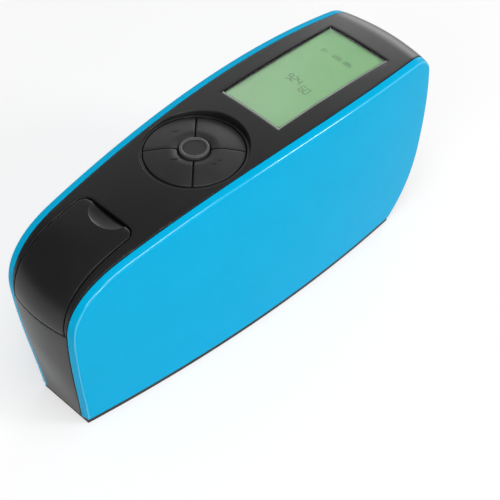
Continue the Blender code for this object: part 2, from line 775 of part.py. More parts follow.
def make_display(glass, lcd, plastic):
    """Flush window pane with the strip's crown, and the flat panel under it."""
    columns, rows = 12, 8
    length = WINDOW_LENGTH - 2 * WINDOW_SEAM
    width = WINDOW_WIDTH - 2 * WINDOW_SEAM
    sections = []
    for i in range(columns + 1):
        x = WINDOW_CENTRE_X + lerp(-length / 2, length / 2, i / columns)
        across = [lerp(-width / 2, width / 2, k / rows) for k in range(rows + 1)]
        section = [(x, y, surface_height(x, y)) for y in across]
        section += [(x, y, display_height(x, PANEL_TOP + SEAT_GAP)) for y in reversed(across)]
        sections.append(section)
    loft("display_window", sections, glass)
    panel = rounded_rectangle(length - LCD_MARGIN, width - LCD_MARGIN, 2 * LCD_MARGIN,
                              (WINDOW_CENTRE_X, 0.0), steps=2)
    display_slab("display_panel", panel, PANEL_BOTTOM, PANEL_TOP, lcd)
    frame_length = WINDOW_LENGTH + 4 * SPACER_RADIUS
    frame_width = WINDOW_WIDTH + FRAME_LIP / 2
    outline = rounded_rectangle(frame_length, frame_width, FRAME_CORNER, (WINDOW_CENTRE_X, 0.0), steps=3)
    frame = display_slab("display_frame", outline, FRAME_BOTTOM, FRAME_TOP, plastic)
    pocket = rounded_rectangle(length - 2 * FRAME_POCKET_MARGIN, width - 2 * FRAME_POCKET_MARGIN,
                               FRAME_CORNER, (WINDOW_CENTRE_X, 0.0), steps=3)
    floor = FRAME_TOP - FRAME_WALL / 2
    cut(frame, display_slab("frame_pocket_tool", pocket, FRAME_BOTTOM - FRAME_WALL, floor))
    return frame


# Key board and domes

BOARD_TOP = KEY_UNDERSIDE - PLUNGER_LENGTH - KEY_TRAVEL * 0.1 - DOME_HEIGHT


def make_key_board(board, metal):
    radius = PAD_RADIUS + PAD_GAP + CUP_WALL
    disc = turned("key_board", rod_profile(radius, BOARD_TOP - BOARD_WALL, BOARD_TOP),
                  (PAD_X, 0, 0), material=board)
    for k, (x, y) in enumerate(plunger_places()):
        pad = DOME_DIAMETER / 2
        base = BOARD_TOP + CONTACT_GAP
        profile = [(0, base), (pad, base), (pad * 0.94, base + DOME_HEIGHT * 0.30),
                   (pad * 0.72, base + DOME_HEIGHT * 0.62), (pad * 0.38, base + DOME_HEIGHT * 0.76),
                   (0, base + DOME_HEIGHT * 0.80)]
        turned(f"dome_switch_{k + 1}", profile, (x, y, 0), steps=16, material=metal)
    return disc


# Sole plate with the measuring aperture

def plan_outline(front, rear, inset, steps=26):
    """Plan of the body between two stations, drawn in by an inset."""
    xs = [lerp(front, rear, k / steps) for k in range(steps + 1)]
    near = [(x, -(outer_half(x, SHELL_FOOT) - inset)) for x in xs]
    far = [(x, outer_half(x, SHELL_FOOT) - inset) for x in reversed(xs)]
    return near + far


def make_sole(material):
    front = FRONT_X + NOSE_FOOT_BACK + SOLE_INSET
    rear = REAR_X - TAIL_FOOT_BACK - SOLE_INSET
    top = SHELL_FOOT - SEAT_GAP
    sole = prism("base_plate", plan_outline(front, rear, SOLE_INSET), 0.0, top, material=material)
    plan = plan_outline(front + SOLE_TRAY_NOSE_GAP, rear - SOLE_TRAY_TAIL_GAP, SOLE_TRAY_INSET)
    tray = prism("tray_tool", plan, top / 2, SOLE_TRAY_TOP)
    join(sole, tray)
    window = rounded_rectangle(APERTURE_LENGTH, APERTURE_WIDTH, APERTURE_CORNER, (APERTURE_X, 0.0))
    cut(sole, prism("aperture_tool", window, -SOLE_WALL, SOLE_TRAY_TOP + SOLE_WALL))
    for k, (x, y) in enumerate(sole_screws()):
        radius = SCREW_RADIUS + SCREW_CLEARANCE
        head = SCREW_HEAD_RADIUS + SCREW_CLEARANCE
        seat = SCREW_SEAT + SCREW_HEAD_HEIGHT
        hole = [(0, -SOLE_WALL), (head, -SOLE_WALL), (head, seat), (radius, seat),
                (radius, SOLE_TRAY_TOP + SOLE_WALL), (0, SOLE_TRAY_TOP + SOLE_WALL)]
        cut(sole, turned(f"screw_hole_tool_{k}", hole, (x, y, 0), steps=12))
    return sole


def sole_screws():
    return [(x, sy * SOLE_SCREW_Y) for x in SOLE_SCREW_X for sy in (-1, 1)]


def make_sole_screws(metal):
    for k, (x, y) in enumerate(sole_screws()):
        head_top = SCREW_SEAT + SCREW_HEAD_HEIGHT - SCREW_CLEARANCE
        profile = [(0, SCREW_SEAT), (SCREW_HEAD_RADIUS, SCREW_SEAT), (SCREW_HEAD_RADIUS, head_top),
                   (SCREW_RADIUS, head_top), (SCREW_RADIUS, SCREW_SEAT + SOLE_SCREW_LENGTH),
                   (0, SCREW_SEAT + SOLE_SCREW_LENGTH)]
        turned(f"sole_screw_{k + 1}", profile, (x, y, 0), steps=16, material=metal)


# Optics block with its source and receiver barrels

OPTICS_FLOOR = SOLE_TRAY_TOP + SEAT_GAP


def beam(side):
    """Unit vector from the measured spot up a barrel."""
    lean = math.radians(BEAM_ANGLE)
    return Vector((side * math.sin(lean), 0.0, math.cos(lean)))


def beam_point(side, distance):
    return Vector((APERTURE_X, 0.0, 0.0)) + beam(side) * distance


def barrel_corner(side, across):
    """Corner of a barrel's end face, above or below its axis."""
    direction = beam(side)
    normal = Vector((-side * direction.z, 0.0, side * direction.x))
    p = beam_point(side, BARREL_LENGTH) + normal * across
    return (p.x, p.z)


def make_optics(black, clear, metal, dark):
    foot = APERTURE_LENGTH / 2 + OPTICS_FOOT_MARGIN
    outline = [
        (APERTURE_X - foot, OPTICS_FLOOR), (APERTURE_X + foot, OPTICS_FLOOR),
        barrel_corner(1, -BARREL_HALF), barrel_corner(1, BARREL_HALF),
        barrel_corner(-1, BARREL_HALF), barrel_corner(-1, -BARREL_HALF),
    ]
    block = prism("optics_block", outline, -OPTICS_HALF_WIDTH, OPTICS_HALF_WIDTH, axis="Y", material=black)
    mouth = rounded_rectangle(APERTURE_LENGTH, APERTURE_WIDTH, APERTURE_CORNER, (APERTURE_X, 0.0))
    cut(block, prism("optics_mouth_tool", mouth, 0.0, OPTICS_FLOOR + BORE_RADIUS))
    for side, tag in ((-1, "source"), (1, "receiver")):
        seat = LENS_RADIUS + SEAT_GAP
        end = BARREL_LENGTH + SOLE_WALL
        bore = [(0, BORE_START), (BORE_RADIUS, BORE_START), (BORE_RADIUS, LENS_SEAT), (seat, LENS_SEAT),
                (seat, end), (0, end)]
        spot = beam_point(side, 0.0)
        cut(block, turned(f"{tag}_bore_tool", bore, spot, beam(side)))
        turned(f"{tag}_lens", lens_profile(LENS_SEAT + SEAT_GAP), spot, beam(side), material=clear)
        plug = plug_profile(LENS_SEAT + LENS_WALL + 2 * SEAT_GAP)
        if side < 0:
            turned("source_lamp", plug, spot, beam(side), steps=16, material=metal)
        else:
            turned("light_sensor", plug, spot, beam(side), steps=16, material=dark)
    return block


def lens_profile(low):
    """Plano-convex lens, its flat face towards the sample."""
    rim = low + LENS_WALL / 2
    points = [(0, low), (LENS_RADIUS, low)]
    for k in range(4):
        share = 1 - k / 4
        points.append((LENS_RADIUS * share, lerp(low + LENS_WALL, rim, share**2)))
    return points + [(0, low + LENS_WALL)]


def plug_profile(low):
    """Round carrier of the lamp or the sensor: pocket towards the lens, pins' housing behind."""
    pocket, housing = PLUG_RADIUS * 0.45, PLUG_RADIUS * 0.5
    high = low + PLUG_LENGTH
    return [(0, low + PLUG_POCKET), (pocket, low + PLUG_POCKET), (pocket, low), (PLUG_RADIUS, low),
            (PLUG_RADIUS, high), (housing, high), (housing, high + LAMP_LENGTH), (0, high + LAMP_LENGTH)]


def spacer_places():
    half_x, half_y = SPACER_PITCH_X / 2, SPACER_PITCH_Y / 2
    return [(APERTURE_X + sx * half_x, sy * half_y) for sx in (-1, 1) for sy in (-1, 1)]


def make_main_board(board, brass):
    top = barrel_corner(1, BARREL_HALF)[1]
    profile = rod_profile(SPACER_RADIUS, top + SEAT_GAP, top + SEAT_GAP + SPACER_HEIGHT)
    for k, (x, y) in enumerate(spacer_places()):
        turned(f"board_spacer_{k + 1}", profile, (x, y, 0), steps=6, material=brass)
    low = top + 2 * SEAT_GAP + SPACER_HEIGHT
    outline = rounded_rectangle(MAIN_BOARD_LENGTH, MAIN_BOARD_WIDTH, MAIN_BOARD_CORNER,
                                (MAIN_BOARD_X, 0.0), steps=3)
    return prism("main_board", outline, low, low + BOARD_WALL, material=board)


# Battery bay in the nose

CELL_BOTTOM = SOLE_TRAY_TOP + SEAT_GAP + TRAY_FLOOR + SPRING_HEIGHT + SEAT_GAP
CELL_TOP = CELL_BOTTOM + CELL_LENGTH


def make_battery(plastic, sleeve, metal):
    """Open tray standing on the sole plate, coil contact and one cell."""
    low = SOLE_TRAY_TOP + SEAT_GAP
    bore = CELL_DIAMETER / 2 + TRAY_BORE_GAP
    outer = 2 * (bore + TRAY_WALL)
    high = CELL_TOP - TRAY_LIP_DROP
    outline = rounded_rectangle(outer, outer, TRAY_CORNER, (CELL_X, 0.0), steps=4)
    tray = prism("battery_tray", outline, low, high, material=plastic)
    bore_tool = rod_profile(bore, low + TRAY_FLOOR, high + TRAY_WALL)
    cut(tray, turned("tray_bore_tool", bore_tool, (CELL_X, 0, 0)))
    slot = rounded_rectangle(outer, TRAY_SLOT_WIDTH, TRAY_SLOT_CORNER, (CELL_X + outer * 0.75, 0.0))
    cut(tray, prism("tray_slot_tool", slot, low + TRAY_FLOOR + SPRING_HEIGHT, high + TRAY_WALL))
    radius = CELL_DIAMETER / 2
    nub = NUB_DIAMETER / 2
    crimp = radius * 0.07
    shoulder = CELL_TOP - NUB_HEIGHT
    can = [(0, CELL_BOTTOM), (radius - crimp, CELL_BOTTOM), (radius, CELL_BOTTOM + crimp),
           (radius, shoulder - crimp), (radius - crimp, shoulder), (nub, shoulder),
           (nub, CELL_TOP - NUB_HEIGHT * 0.15), (nub * 0.85, CELL_TOP), (0, CELL_TOP)]
    turned("battery_cell", can, (CELL_X, 0, 0), steps=20, material=sleeve)
    coil("battery_spring", low + TRAY_FLOOR + SEAT_GAP, CELL_BOTTOM - SEAT_GAP, metal)
    return tray


def coil(name, low, high, material):
    """Conical coil contact, wide at its foot."""
    steps_per_turn = 12
    count = int(SPRING_TURNS * steps_per_turn)
    wire = SPRING_WIRE / 2
    sections = []
    for k in range(count + 1):
        share = k / count
        angle = 2 * math.pi * SPRING_TURNS * share
        radius = lerp(CELL_DIAMETER * 0.36, CELL_DIAMETER * 0.17, share)
        height = lerp(low + wire, high - wire, share)
        out = Vector((math.cos(angle), math.sin(angle), 0.0))
        centre = Vector((CELL_X, 0.0, height)) + out * radius
        ring = []
        for j in range(6):
            turn = 2 * math.pi * j / 6
            ring.append(centre + out * (wire * math.cos(turn)) + Vector((0, 0, wire * math.sin(turn))))
        sections.append(ring)
    return loft(name, sections, material)


def make_cover_contact(metal):
    """Leaf on the underside of the battery cover, bowed down to the cell."""
    half = CONTACT_WIDTH / 2
    reach = CELL_DIAMETER * 0.42
    steps = 12
    sections = []
    for k in range(steps + 1):
        v = k / steps
        under = skin(RIM.at_x(CELL_X) + lerp(-reach, reach, v), half, COVER_WALL + SEAT_GAP)
        bow = math.sin(math.pi * v)**2
        top = lerp(under.z, CELL_TOP + SEAT_GAP + CONTACT_WALL, bow)
        low = top - CONTACT_WALL
        corners = ((-half, top), (half, top), (half, low), (-half, low))
        sections.append([(under.x, y, z) for y, z in corners])
    return loft("cover_contact", sections, metal)


def main():
    clear_scene()
    blue = principled("blue_gloss_abs", (0.003, 0.42, 0.80), 0.18)
    black = principled("black_satin_abs", (0.030, 0.030, 0.033), 0.35)
    key_black = principled("key_abs", (0.035, 0.035, 0.038), 0.40)
    clear = principled("clear_acrylic", (0.95, 0.97, 0.96), 0.03, transmission=1.0)
    lcd = principled("lcd_green", (0.31, 0.56, 0.31), 0.35)
    dark = principled("black_nylon", (0.020, 0.020, 0.020), 0.60)
    board = principled("circuit_laminate", (0.01, 0.16, 0.06), 0.45)
    steel = principled("nickel_steel", (0.62, 0.61, 0.58), 0.30, metallic=1.0)
    brass = principled("brass_spacer", (0.72, 0.48, 0.16), 0.30, metallic=1.0)
    anodised = principled("black_anodised", (0.015, 0.015, 0.016), 0.45, metallic=0.6)
    sleeve = principled("cell_sleeve", (0.05, 0.05, 0.055), 0.35)

    make_shell("right_shell", -1, blue)
    make_shell("left_shell", 1, blue)
    make_top_cover(black)
    strip_patch("nose_cover", FOOT_CLEAR, S_NOSE_SEAM, 18, cover_half, 0.0, COVER_WALL, black)
    strip_patch("rear_cover", S_TAIL_SEAM, RIM.total - FOOT_CLEAR, 18, cover_half, 0.0, COVER_WALL, black)
    make_battery_cover(black)
    make_cover_contact(steel)
    make_display(clear, lcd, dark)
    for quarter, name in enumerate(("key_display", "key_left", "key_nose", "key_right")):
        make_sector_key(name, quarter, key_black)
    make_centre_key(key_black)
    make_key_board(board, steel)
    make_sole(dark)
    make_sole_screws(steel)
    make_optics(anodised, clear, steel, dark)
    make_main_board(board, brass)
    make_battery(dark, sleeve, steel)


main()
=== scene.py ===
"""Looks of the handheld gloss meter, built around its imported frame.

Each visible piece keeps the place of the solid that it stands for. +X runs from
the battery nose to the display end and -Y is the user's right hand side.
Lengths are in metres, angles in degrees unless a name says otherwise.
"""
import math

import bmesh
import bpy
import numpy as np
from mathutils import Matrix, Vector
from mathutils.geometry import delaunay_2d_cdt


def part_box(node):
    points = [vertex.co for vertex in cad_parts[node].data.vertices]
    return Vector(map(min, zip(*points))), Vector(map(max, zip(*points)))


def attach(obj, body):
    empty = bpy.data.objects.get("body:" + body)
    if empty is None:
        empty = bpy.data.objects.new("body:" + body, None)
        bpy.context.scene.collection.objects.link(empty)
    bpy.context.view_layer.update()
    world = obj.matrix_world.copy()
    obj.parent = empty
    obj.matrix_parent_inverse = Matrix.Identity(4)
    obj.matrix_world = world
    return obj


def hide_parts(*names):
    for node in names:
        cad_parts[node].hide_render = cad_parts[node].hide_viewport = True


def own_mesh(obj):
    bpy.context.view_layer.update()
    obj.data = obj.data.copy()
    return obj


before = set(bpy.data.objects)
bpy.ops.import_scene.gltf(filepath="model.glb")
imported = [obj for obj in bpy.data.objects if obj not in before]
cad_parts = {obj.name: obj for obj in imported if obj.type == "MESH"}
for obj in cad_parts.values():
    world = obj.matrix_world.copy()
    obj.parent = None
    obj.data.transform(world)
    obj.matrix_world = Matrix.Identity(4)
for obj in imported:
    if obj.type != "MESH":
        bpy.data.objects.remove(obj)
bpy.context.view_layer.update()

# Side outline of the body, as the solids have it
BODY_LENGTH = 0.1600
SHELL_FOOT = 0.0025
NOSE_FOOT_BACK = 0.0044
NOSE_HEIGHT = 0.0485
BROW_BACK = 0.0210
BROW_HEIGHT = 0.0689
BROW_SLOPE = 11.0
TAIL_BACK = 0.0100
TAIL_HEIGHT = 0.0746
TAIL_SLOPE = -5.0
TAIL_CORNER_DROP = 0.0096
TAIL_WAIST = 0.0300
TAIL_FOOT_BACK = 0.0135
FRONT_X = -BODY_LENGTH / 2
REAR_X = BODY_LENGTH / 2

# Half widths at the foot and outward lean of the side panels, cubics along the length
FOOT_HALF = (0.01118, 0.01956, 0.02150, 0.01414)
PANEL_LEAN = (0.100, 0.013, 0.088, 0.078)
BAND_WIDTH = 0.0029
BAND_DROP = 0.0006
PANEL_BULGE = 0.0004
TOP_CROWN = 0.00075
END_CROWN = 0.0017
FOOT_CROWN_HEIGHT = 0.0300

# Walls, seams and rounds
SHELL_WALL = 0.0020
COVER_WALL = 0.0020
SEAT_GAP = 0.0003
SEAM_GAP = 0.00035
REBATE_WIDTH = 0.0012
REBATE_DEPTH = COVER_WALL + SEAT_GAP
LEDGE_DEPTH = REBATE_DEPTH + 0.0015
SEAM_HEIGHT = 0.0477
SOLE_WALL = 0.0025
CREASE_ROUND = 0.00080       # outer crease of the blue rim
RIM_ROUND = 0.00018          # inner edge of the blue rim
COVER_ROUND = 0.00015        # edges of the black covers
KEY_ROUND = 0.00022
CONTACT = SEAM_GAP / 8       # keeps two pieces that rest on each other from sharing a face
# Faces of the rounded crease within this share get a lighter blue, a painted highlight
CREASE_FACING = (0.46, 0.94)     # share of Y in the normals of the rounded edges
COVER_MESH = 0.0011          # spacing of the covers' inner points
OUTLINE_STEP = 0.0008        # and of those along their outlines
LID_OUTLINE_STEP = 0.0006

# Battery cover
LID_STEP_X = -0.0489
LID_HALF = 0.0119
LID_CORNER = 0.0035
LID_SEAM = 0.00045
NOTCH_LENGTH = 0.0058
NOTCH_HALF = 0.0078
NOTCH_DEPTH = 0.0013
LID_EASE = 0.0010            # the battery cover's rear edge rolls down over this length
LID_EASE_DEPTH = 0.0004

LID_HINGE_REACH = 0.0026     # hooks' reach behind the nose cover
HOOK_WIDTH = 0.0045
HOOK_SPREAD = 0.0100
HOOK_WALL = 0.0012

# Key pad and its dish
PAD_HEIGHT = 0.0743          # outer edge of the keys
PAD_RISE = 0.0019
KEY_SPLIT = 0.0005
PAD_GAP = 0.0004
DISH_RADIUS = 0.0181
DISH_WALL_RUN = 0.0005
DISH_WALL_SLOPE = 4.6        # rise of the dish wall for each unit outwards
DISH_LIP = 0.00120           # height over which the dish blends into the strip
WELL_RADIUS = 0.0074         # the keys start to roll into the well here, as the photograph shows
WELL_DEPTH = 0.0007
WELL_BLEND = 0.0006          # height over which they do
KEY_WALL = 0.0013
KEY_TRAVEL = 0.0005
CUP_WALL = 0.0006            # cup under the keys
CUP_FLOOR = 0.0015
PLUNGER_RADIUS = 0.0015
PLUNGER_RING = 0.0112
PLUNGER_LENGTH = 0.0032
CENTRE_BEAD = 0.00125        # width of the bead round the centre key's disc
CENTRE_DISH = 0.00035        # disc below the bead
DOME_WALL = 0.00007

# Display and screws
WINDOW_WALL = 0.0011
WINDOW_SEAM = 0.0002
WINDOW_ROUND = 0.00008       # broken edge of the pane's rim; the pane's own is an eighth of it
RIM_WIDTH = 0.00038          # rim of the pane, painted pale on the near and nose sides as a highlight, wider on the nose side
RIM_NOSE = 0.00062
RIM_JOINT = 0.00003          # keeps the pane's blackened walls off the rim's
PANE_RING = 0.00005          # step of the rings of points just inside the pane's edge
RIM_STEP = 0.00035           # depth of the pane's rim
PANE_MESH = 0.0018           # spacing of the pane's inner points
PANE_FACING = 0.95           # share of Z in a normal, below which a face is one of the pane's walls
SCREW_SEAT = 0.0006
SCREW_LENGTH = 0.0100
SCREW_RADIUS = 0.0011
SCREW_HEAD_RADIUS = 0.0021
SCREW_HEAD_HEIGHT = 0.0009
BOSS_RADIUS = 0.0024
BOSS_HEIGHT = 0.0070
BOSS_RIB = 0.0014
BOSS_BORE = 0.0013

# Printed and displayed marks: a digit's segments, and each segment's place in heights up and left
DIGITS = {"0": "abcdef", "1": "bc", "2": "abged", "4": "fgbc", "5": "afgcd", "6": "afgedc", "8": "abcdefg",
          "9": "abcdfg"}
SEGMENTS = {"a": (0.5, 0.0), "g": (0.0, 0.0), "d": (-0.5, 0.0), "f": (0.25, 0.5), "b": (0.25, -0.5),
            "e": (-0.25, 0.5), "c": (-0.25, -0.5)}
MARK_LEVEL = -WINDOW_WALL - SEAT_GAP + 0.00001
MARK_WALL = 0.00003
MARK_STROKE = 0.00024
MARK_WIDTH = 0.0006
MARK_TURN = -42.0
# The film's own green, then the paler green of the reflection painted towards its far nose corner
LCD_FILM_AND_REFLECTION_COLOURS = ("#79B074", "#92B890")

# Board parts: each chip's place and size on the main board, and its leads
CHIPS = ((-0.020, 0.0, 0.012, 0.012), (0.010, 0.003, 0.009, 0.007), (0.030, -0.004, 0.007, 0.010))
CHIP_HEIGHT = 0.0012
LEAD_PITCH = 0.0011

# Camera, solved from the photograph's 500 x 500 frame
PHOTO_SIDE = 500
FOCAL_PIXELS = 1652.97
CAMERA_TURN = 47.726         # from the nose towards the near side
CAMERA_RISE = 44.130
CAMERA_ROLL = -1.715
CAMERA_DISTANCE = 0.56249
CAMERA_TARGET = Vector((0.0, 0.0, 0.035))
TARGET_PIXEL = (227.51, 218.94)
SENSOR_WIDTH = 36.0


# Plain helpers

def lerp(a, b, t):
    return a + (b - a) * t


def bezier(p0, p1, p2, p3, t):
    u = 1 - t
    return p0 * u**3 + p1 * (3 * u * u * t) + p2 * (3 * u * t * t) + p3 * t**3


def smoothstep(t):
    t = np.clip(t, 0.0, 1.0)
    return t * t * (3 - 2 * t)


def smooth_minimum(a, b, span):
    """Smaller of two heights, rounded where they lie within span of each other."""
    near = np.clip(span - np.abs(a - b), 0.0, span) / span
    return np.minimum(a, b) - near * near * span / 4


def unit(v):
    return v / np.linalg.norm(v, axis=-1, keepdims=True)


def direction(degrees):
    return np.array((math.cos(math.radians(degrees)), math.sin(math.radians(degrees))))


# Side outline and the strip's surface

def outline_curves():
    """Bezier pieces from the nose foot over the top to the tail foot."""
    brow, tail = direction(BROW_SLOPE), direction(TAIL_SLOPE)
    point = lambda x, z: np.array((x, z))
    nose_foot = point(FRONT_X + NOSE_FOOT_BACK, SHELL_FOOT)
    nose = point(FRONT_X, NOSE_HEIGHT)
    brow_end = point(FRONT_X + BROW_BACK, BROW_HEIGHT)
    tail_top = point(REAR_X - TAIL_BACK, TAIL_HEIGHT)
    tail_side = point(REAR_X - TAIL_BACK * 0.10, TAIL_HEIGHT - TAIL_CORNER_DROP)
    waist = point(REAR_X - TAIL_BACK * 0.07, TAIL_WAIST)
    tail_foot = point(REAR_X - TAIL_FOOT_BACK, SHELL_FOOT)
    top_span = np.linalg.norm(tail_top - brow_end)
    back_span = tail_side[1] - waist[1]
    nose_span = nose[1] - nose_foot[1]
    bend = brow_end[1] - nose[1]
    tuck = waist[1] - tail_foot[1]
    return (
        (nose_foot, nose_foot + point(-NOSE_FOOT_BACK * 0.23, nose_span * 0.25),
         nose - point(0, nose_span * 0.31), nose),
        (nose, nose + point(0, bend * 0.61), brow_end - brow * (BROW_BACK * 0.52), brow_end),
        (brow_end, brow_end + brow * (top_span * 0.325), tail_top - tail * (top_span * 0.295), tail_top),
        (tail_top, tail_top + tail * (TAIL_BACK * 0.5),
         tail_side + point(-TAIL_BACK * 0.03, TAIL_CORNER_DROP * 0.60), tail_side),
        (tail_side, tail_side + point(TAIL_BACK * 0.12, -back_span * 0.26),
         waist + point(TAIL_BACK * 0.13, back_span * 0.40), waist),
        (waist, waist - point(TAIL_BACK * 0.13, tuck * 0.51),
         tail_foot + point(TAIL_FOOT_BACK * 0.48, tuck * 0.20), tail_foot),
    )


class Rim:
    """The side outline, read by arc length s in numpy arrays."""

    SAMPLES = 500            # on each Bezier piece
    NORMAL_SHARE = 0.004     # of the whole length, to either side, for a normal

    def __init__(self):
        points = []
        for i, curve in enumerate(outline_curves()):
            points += [bezier(*curve, k / self.SAMPLES) for k in range(min(i, 1), self.SAMPLES + 1)]
        self.xz = np.array(points)
        self.s = np.concatenate([[0.0], np.cumsum(np.linalg.norm(np.diff(self.xz, axis=0), axis=1))])
        self.total = self.s[-1]
        self.top = self.xz[:, 1].max()

    def point(self, s):
        return np.stack([np.interp(s, self.s, self.xz[:, 0]), np.interp(s, self.s, self.xz[:, 1])], -1)

    def inward(self, s):
        """Unit normal towards the inside of the body."""
        step = self.total * self.NORMAL_SHARE
        along = unit(self.point(np.minimum(s + step, self.total)) - self.point(np.maximum(s - step, 0.0)))
        return np.stack([along[..., 1], -along[..., 0]], -1)

    def at_x(self, x):
        """Arc length of a place on the top."""
        top = (self.xz[:, 1] > NOSE_HEIGHT) & (self.s < self.s[np.argmax(self.xz[:, 0])])
        return np.interp(x, self.xz[top, 0], self.s[top])

    def on_nose(self, height):
        nose = self.xz[:, 0] < FRONT_X + BROW_BACK
        return np.interp(height, self.xz[nose, 1], self.s[nose])

    def on_tail(self, height):
        tail = self.xz[:, 0] > REAR_X - TAIL_BACK
        return np.interp(-height, -self.xz[tail, 1], self.s[tail])


RIM = Rim()


def outer_half(x, z):
    """Half width of the side panels at a place in side view."""
    along = (x - FRONT_X) / BODY_LENGTH
    up = z - SHELL_FOOT
    share = up / (RIM.top - SHELL_FOOT)
    return bezier(*FOOT_HALF, along) + bezier(*PANEL_LEAN, along) * up + PANEL_BULGE * 4 * share * (1 - share)


def strip_half(s):
    p = RIM.point(s)
    return outer_half(p[..., 0], p[..., 1]) - BAND_WIDTH


def cover_half(s):
    return strip_half(s) - SEAT_GAP


def crown(s, y):
    """Height of the strip's surface over its edges."""
    end = END_CROWN * smoothstep((RIM.point(s)[..., 1] - SHELL_FOOT) / FOOT_CROWN_HEIGHT)
    facing = np.abs(RIM.inward(s)[..., 0])
    return lerp(TOP_CROWN, end, facing**1.5) * (1 - (y / strip_half(s))**2)


def skin(s, y, depth):
    """Points of the black strip, depth measured inwards from its surface."""
    p = RIM.point(s) + RIM.inward(s) * (depth - crown(s, y))[..., None]
    return np.stack([p[..., 0], y, p[..., 1]], -1)


def arc_at(x, y):
    """Arc lengths at which the strip's surface lies at x, for points off the middle too."""
    x, y = np.broadcast_arrays(np.asarray(x, float), np.asarray(y, float))
    s = RIM.at_x(x)
    for _ in range(4):
        s = s + (x - skin(s, y, np.zeros_like(y))[..., 0])
    return s


# Meshes

def mesh_object(name, vertices, faces, material, smooth_angle=32.0):
    """Object at the origin from points and faces, welded, faces outwards, smooth between sharp edges."""
    mesh = bpy.data.meshes.new(name)
    mesh.from_pydata([tuple(v) for v in vertices], [], faces)
    bm = bmesh.new()
    bm.from_mesh(mesh)
    bmesh.ops.remove_doubles(bm, verts=bm.verts, dist=2e-7)
    bmesh.ops.dissolve_degenerate(bm, edges=bm.edges, dist=1e-7)
    bmesh.ops.recalc_face_normals(bm, faces=bm.faces)
    bm.to_mesh(mesh)
    bm.free()
    mesh.shade_smooth()
    mesh.set_sharp_from_angle(angle=math.radians(smooth_angle))
    mesh.materials.append(material)
    obj = bpy.data.objects.new(name, mesh)
    bpy.context.scene.collection.objects.link(obj)
    return obj


def loft(name, rings, material, smooth_angle=32.0, capped=True):
    """Closed body through rings of equal count, capped at both ends unless they meet."""
    rings = np.asarray(rings)
    count, around = rings.shape[:2]
    faces = []
    for i in range(count - 1):
        for j in range(around):
            k = (j + 1) % around
            faces.append((i * around + j, i * around + k, (i + 1) * around + k, (i + 1) * around + j))
    if capped:
        faces.append(tuple(range(around)))
        faces.append(tuple(reversed(range((count - 1) * around, count * around))))
    return mesh_object(name, rings.reshape(-1, 3), faces, material, smooth_angle)


def turned(name, profile, centre, material, steps=72, closed=False):
    """Body turned about a vertical axis: a profile from axis to axis, or a closed one for a ring."""
    angles = 2 * np.pi * np.arange(steps) / steps
    rings = [np.stack([centre[0] + r * np.cos(angles), centre[1] + r * np.sin(angles),
                       np.full(steps, centre[2] + z)], -1) for r, z in profile]
    return loft(name, rings + rings[:1] if closed else rings, material, capped=not closed)


# Flat outlines of panels, drawn in arc length and y, and the panels made of them

def resample(points, spacing):
    """Closed outline with a point about every spacing, its corners kept."""
    points = np.asarray(points, float)
    result = []
    for a, b in zip(points, np.roll(points, -1, axis=0)):
        count = max(1, int(round(np.linalg.norm(b - a) / spacing)))
        result += [lerp(a, b, k / count) for k in range(count)]
    return np.array(result)


def inset(loop, distance):
    """Closed outline moved to its left side, with mitred corners."""
    before = unit(loop - np.roll(loop, 1, axis=0))
    after = unit(np.roll(loop, -1, axis=0) - loop)
    side = lambda v: np.stack([-v[:, 1], v[:, 0]], -1)
    middle = unit(side(before) + side(after))
    mitre = np.maximum((middle * side(after)).sum(1), 0.5)
    return loop + middle * (distance / mitre)[:, None]


def inside(points, loops):
    """Whether each point lies inside an odd number of the closed outlines."""
    crossings = np.zeros(len(points), int)
    for loop in loops:
        a, b = loop, np.roll(loop, -1, axis=0)
        for (ax, ay), (bx, by) in zip(a, b):
            if ay == by:
                continue
            spans = (points[:, 1] > min(ay, by)) & (points[:, 1] <= max(ay, by))
            x = ax + (points[:, 1] - ay) * (bx - ax) / (by - ay)
            crossings += spans & (points[:, 0] < x)
    return crossings % 2 == 1


def nearest(points, others):
    """Distance of each point to the closest of the others."""
    result = np.empty(len(points))
    for start in range(0, len(points), 500):
        part = points[start:start + 500]
        result[start:start + 500] = np.sqrt(((part[:, None] - others[None])**2).sum(-1)).min(1)
    return result


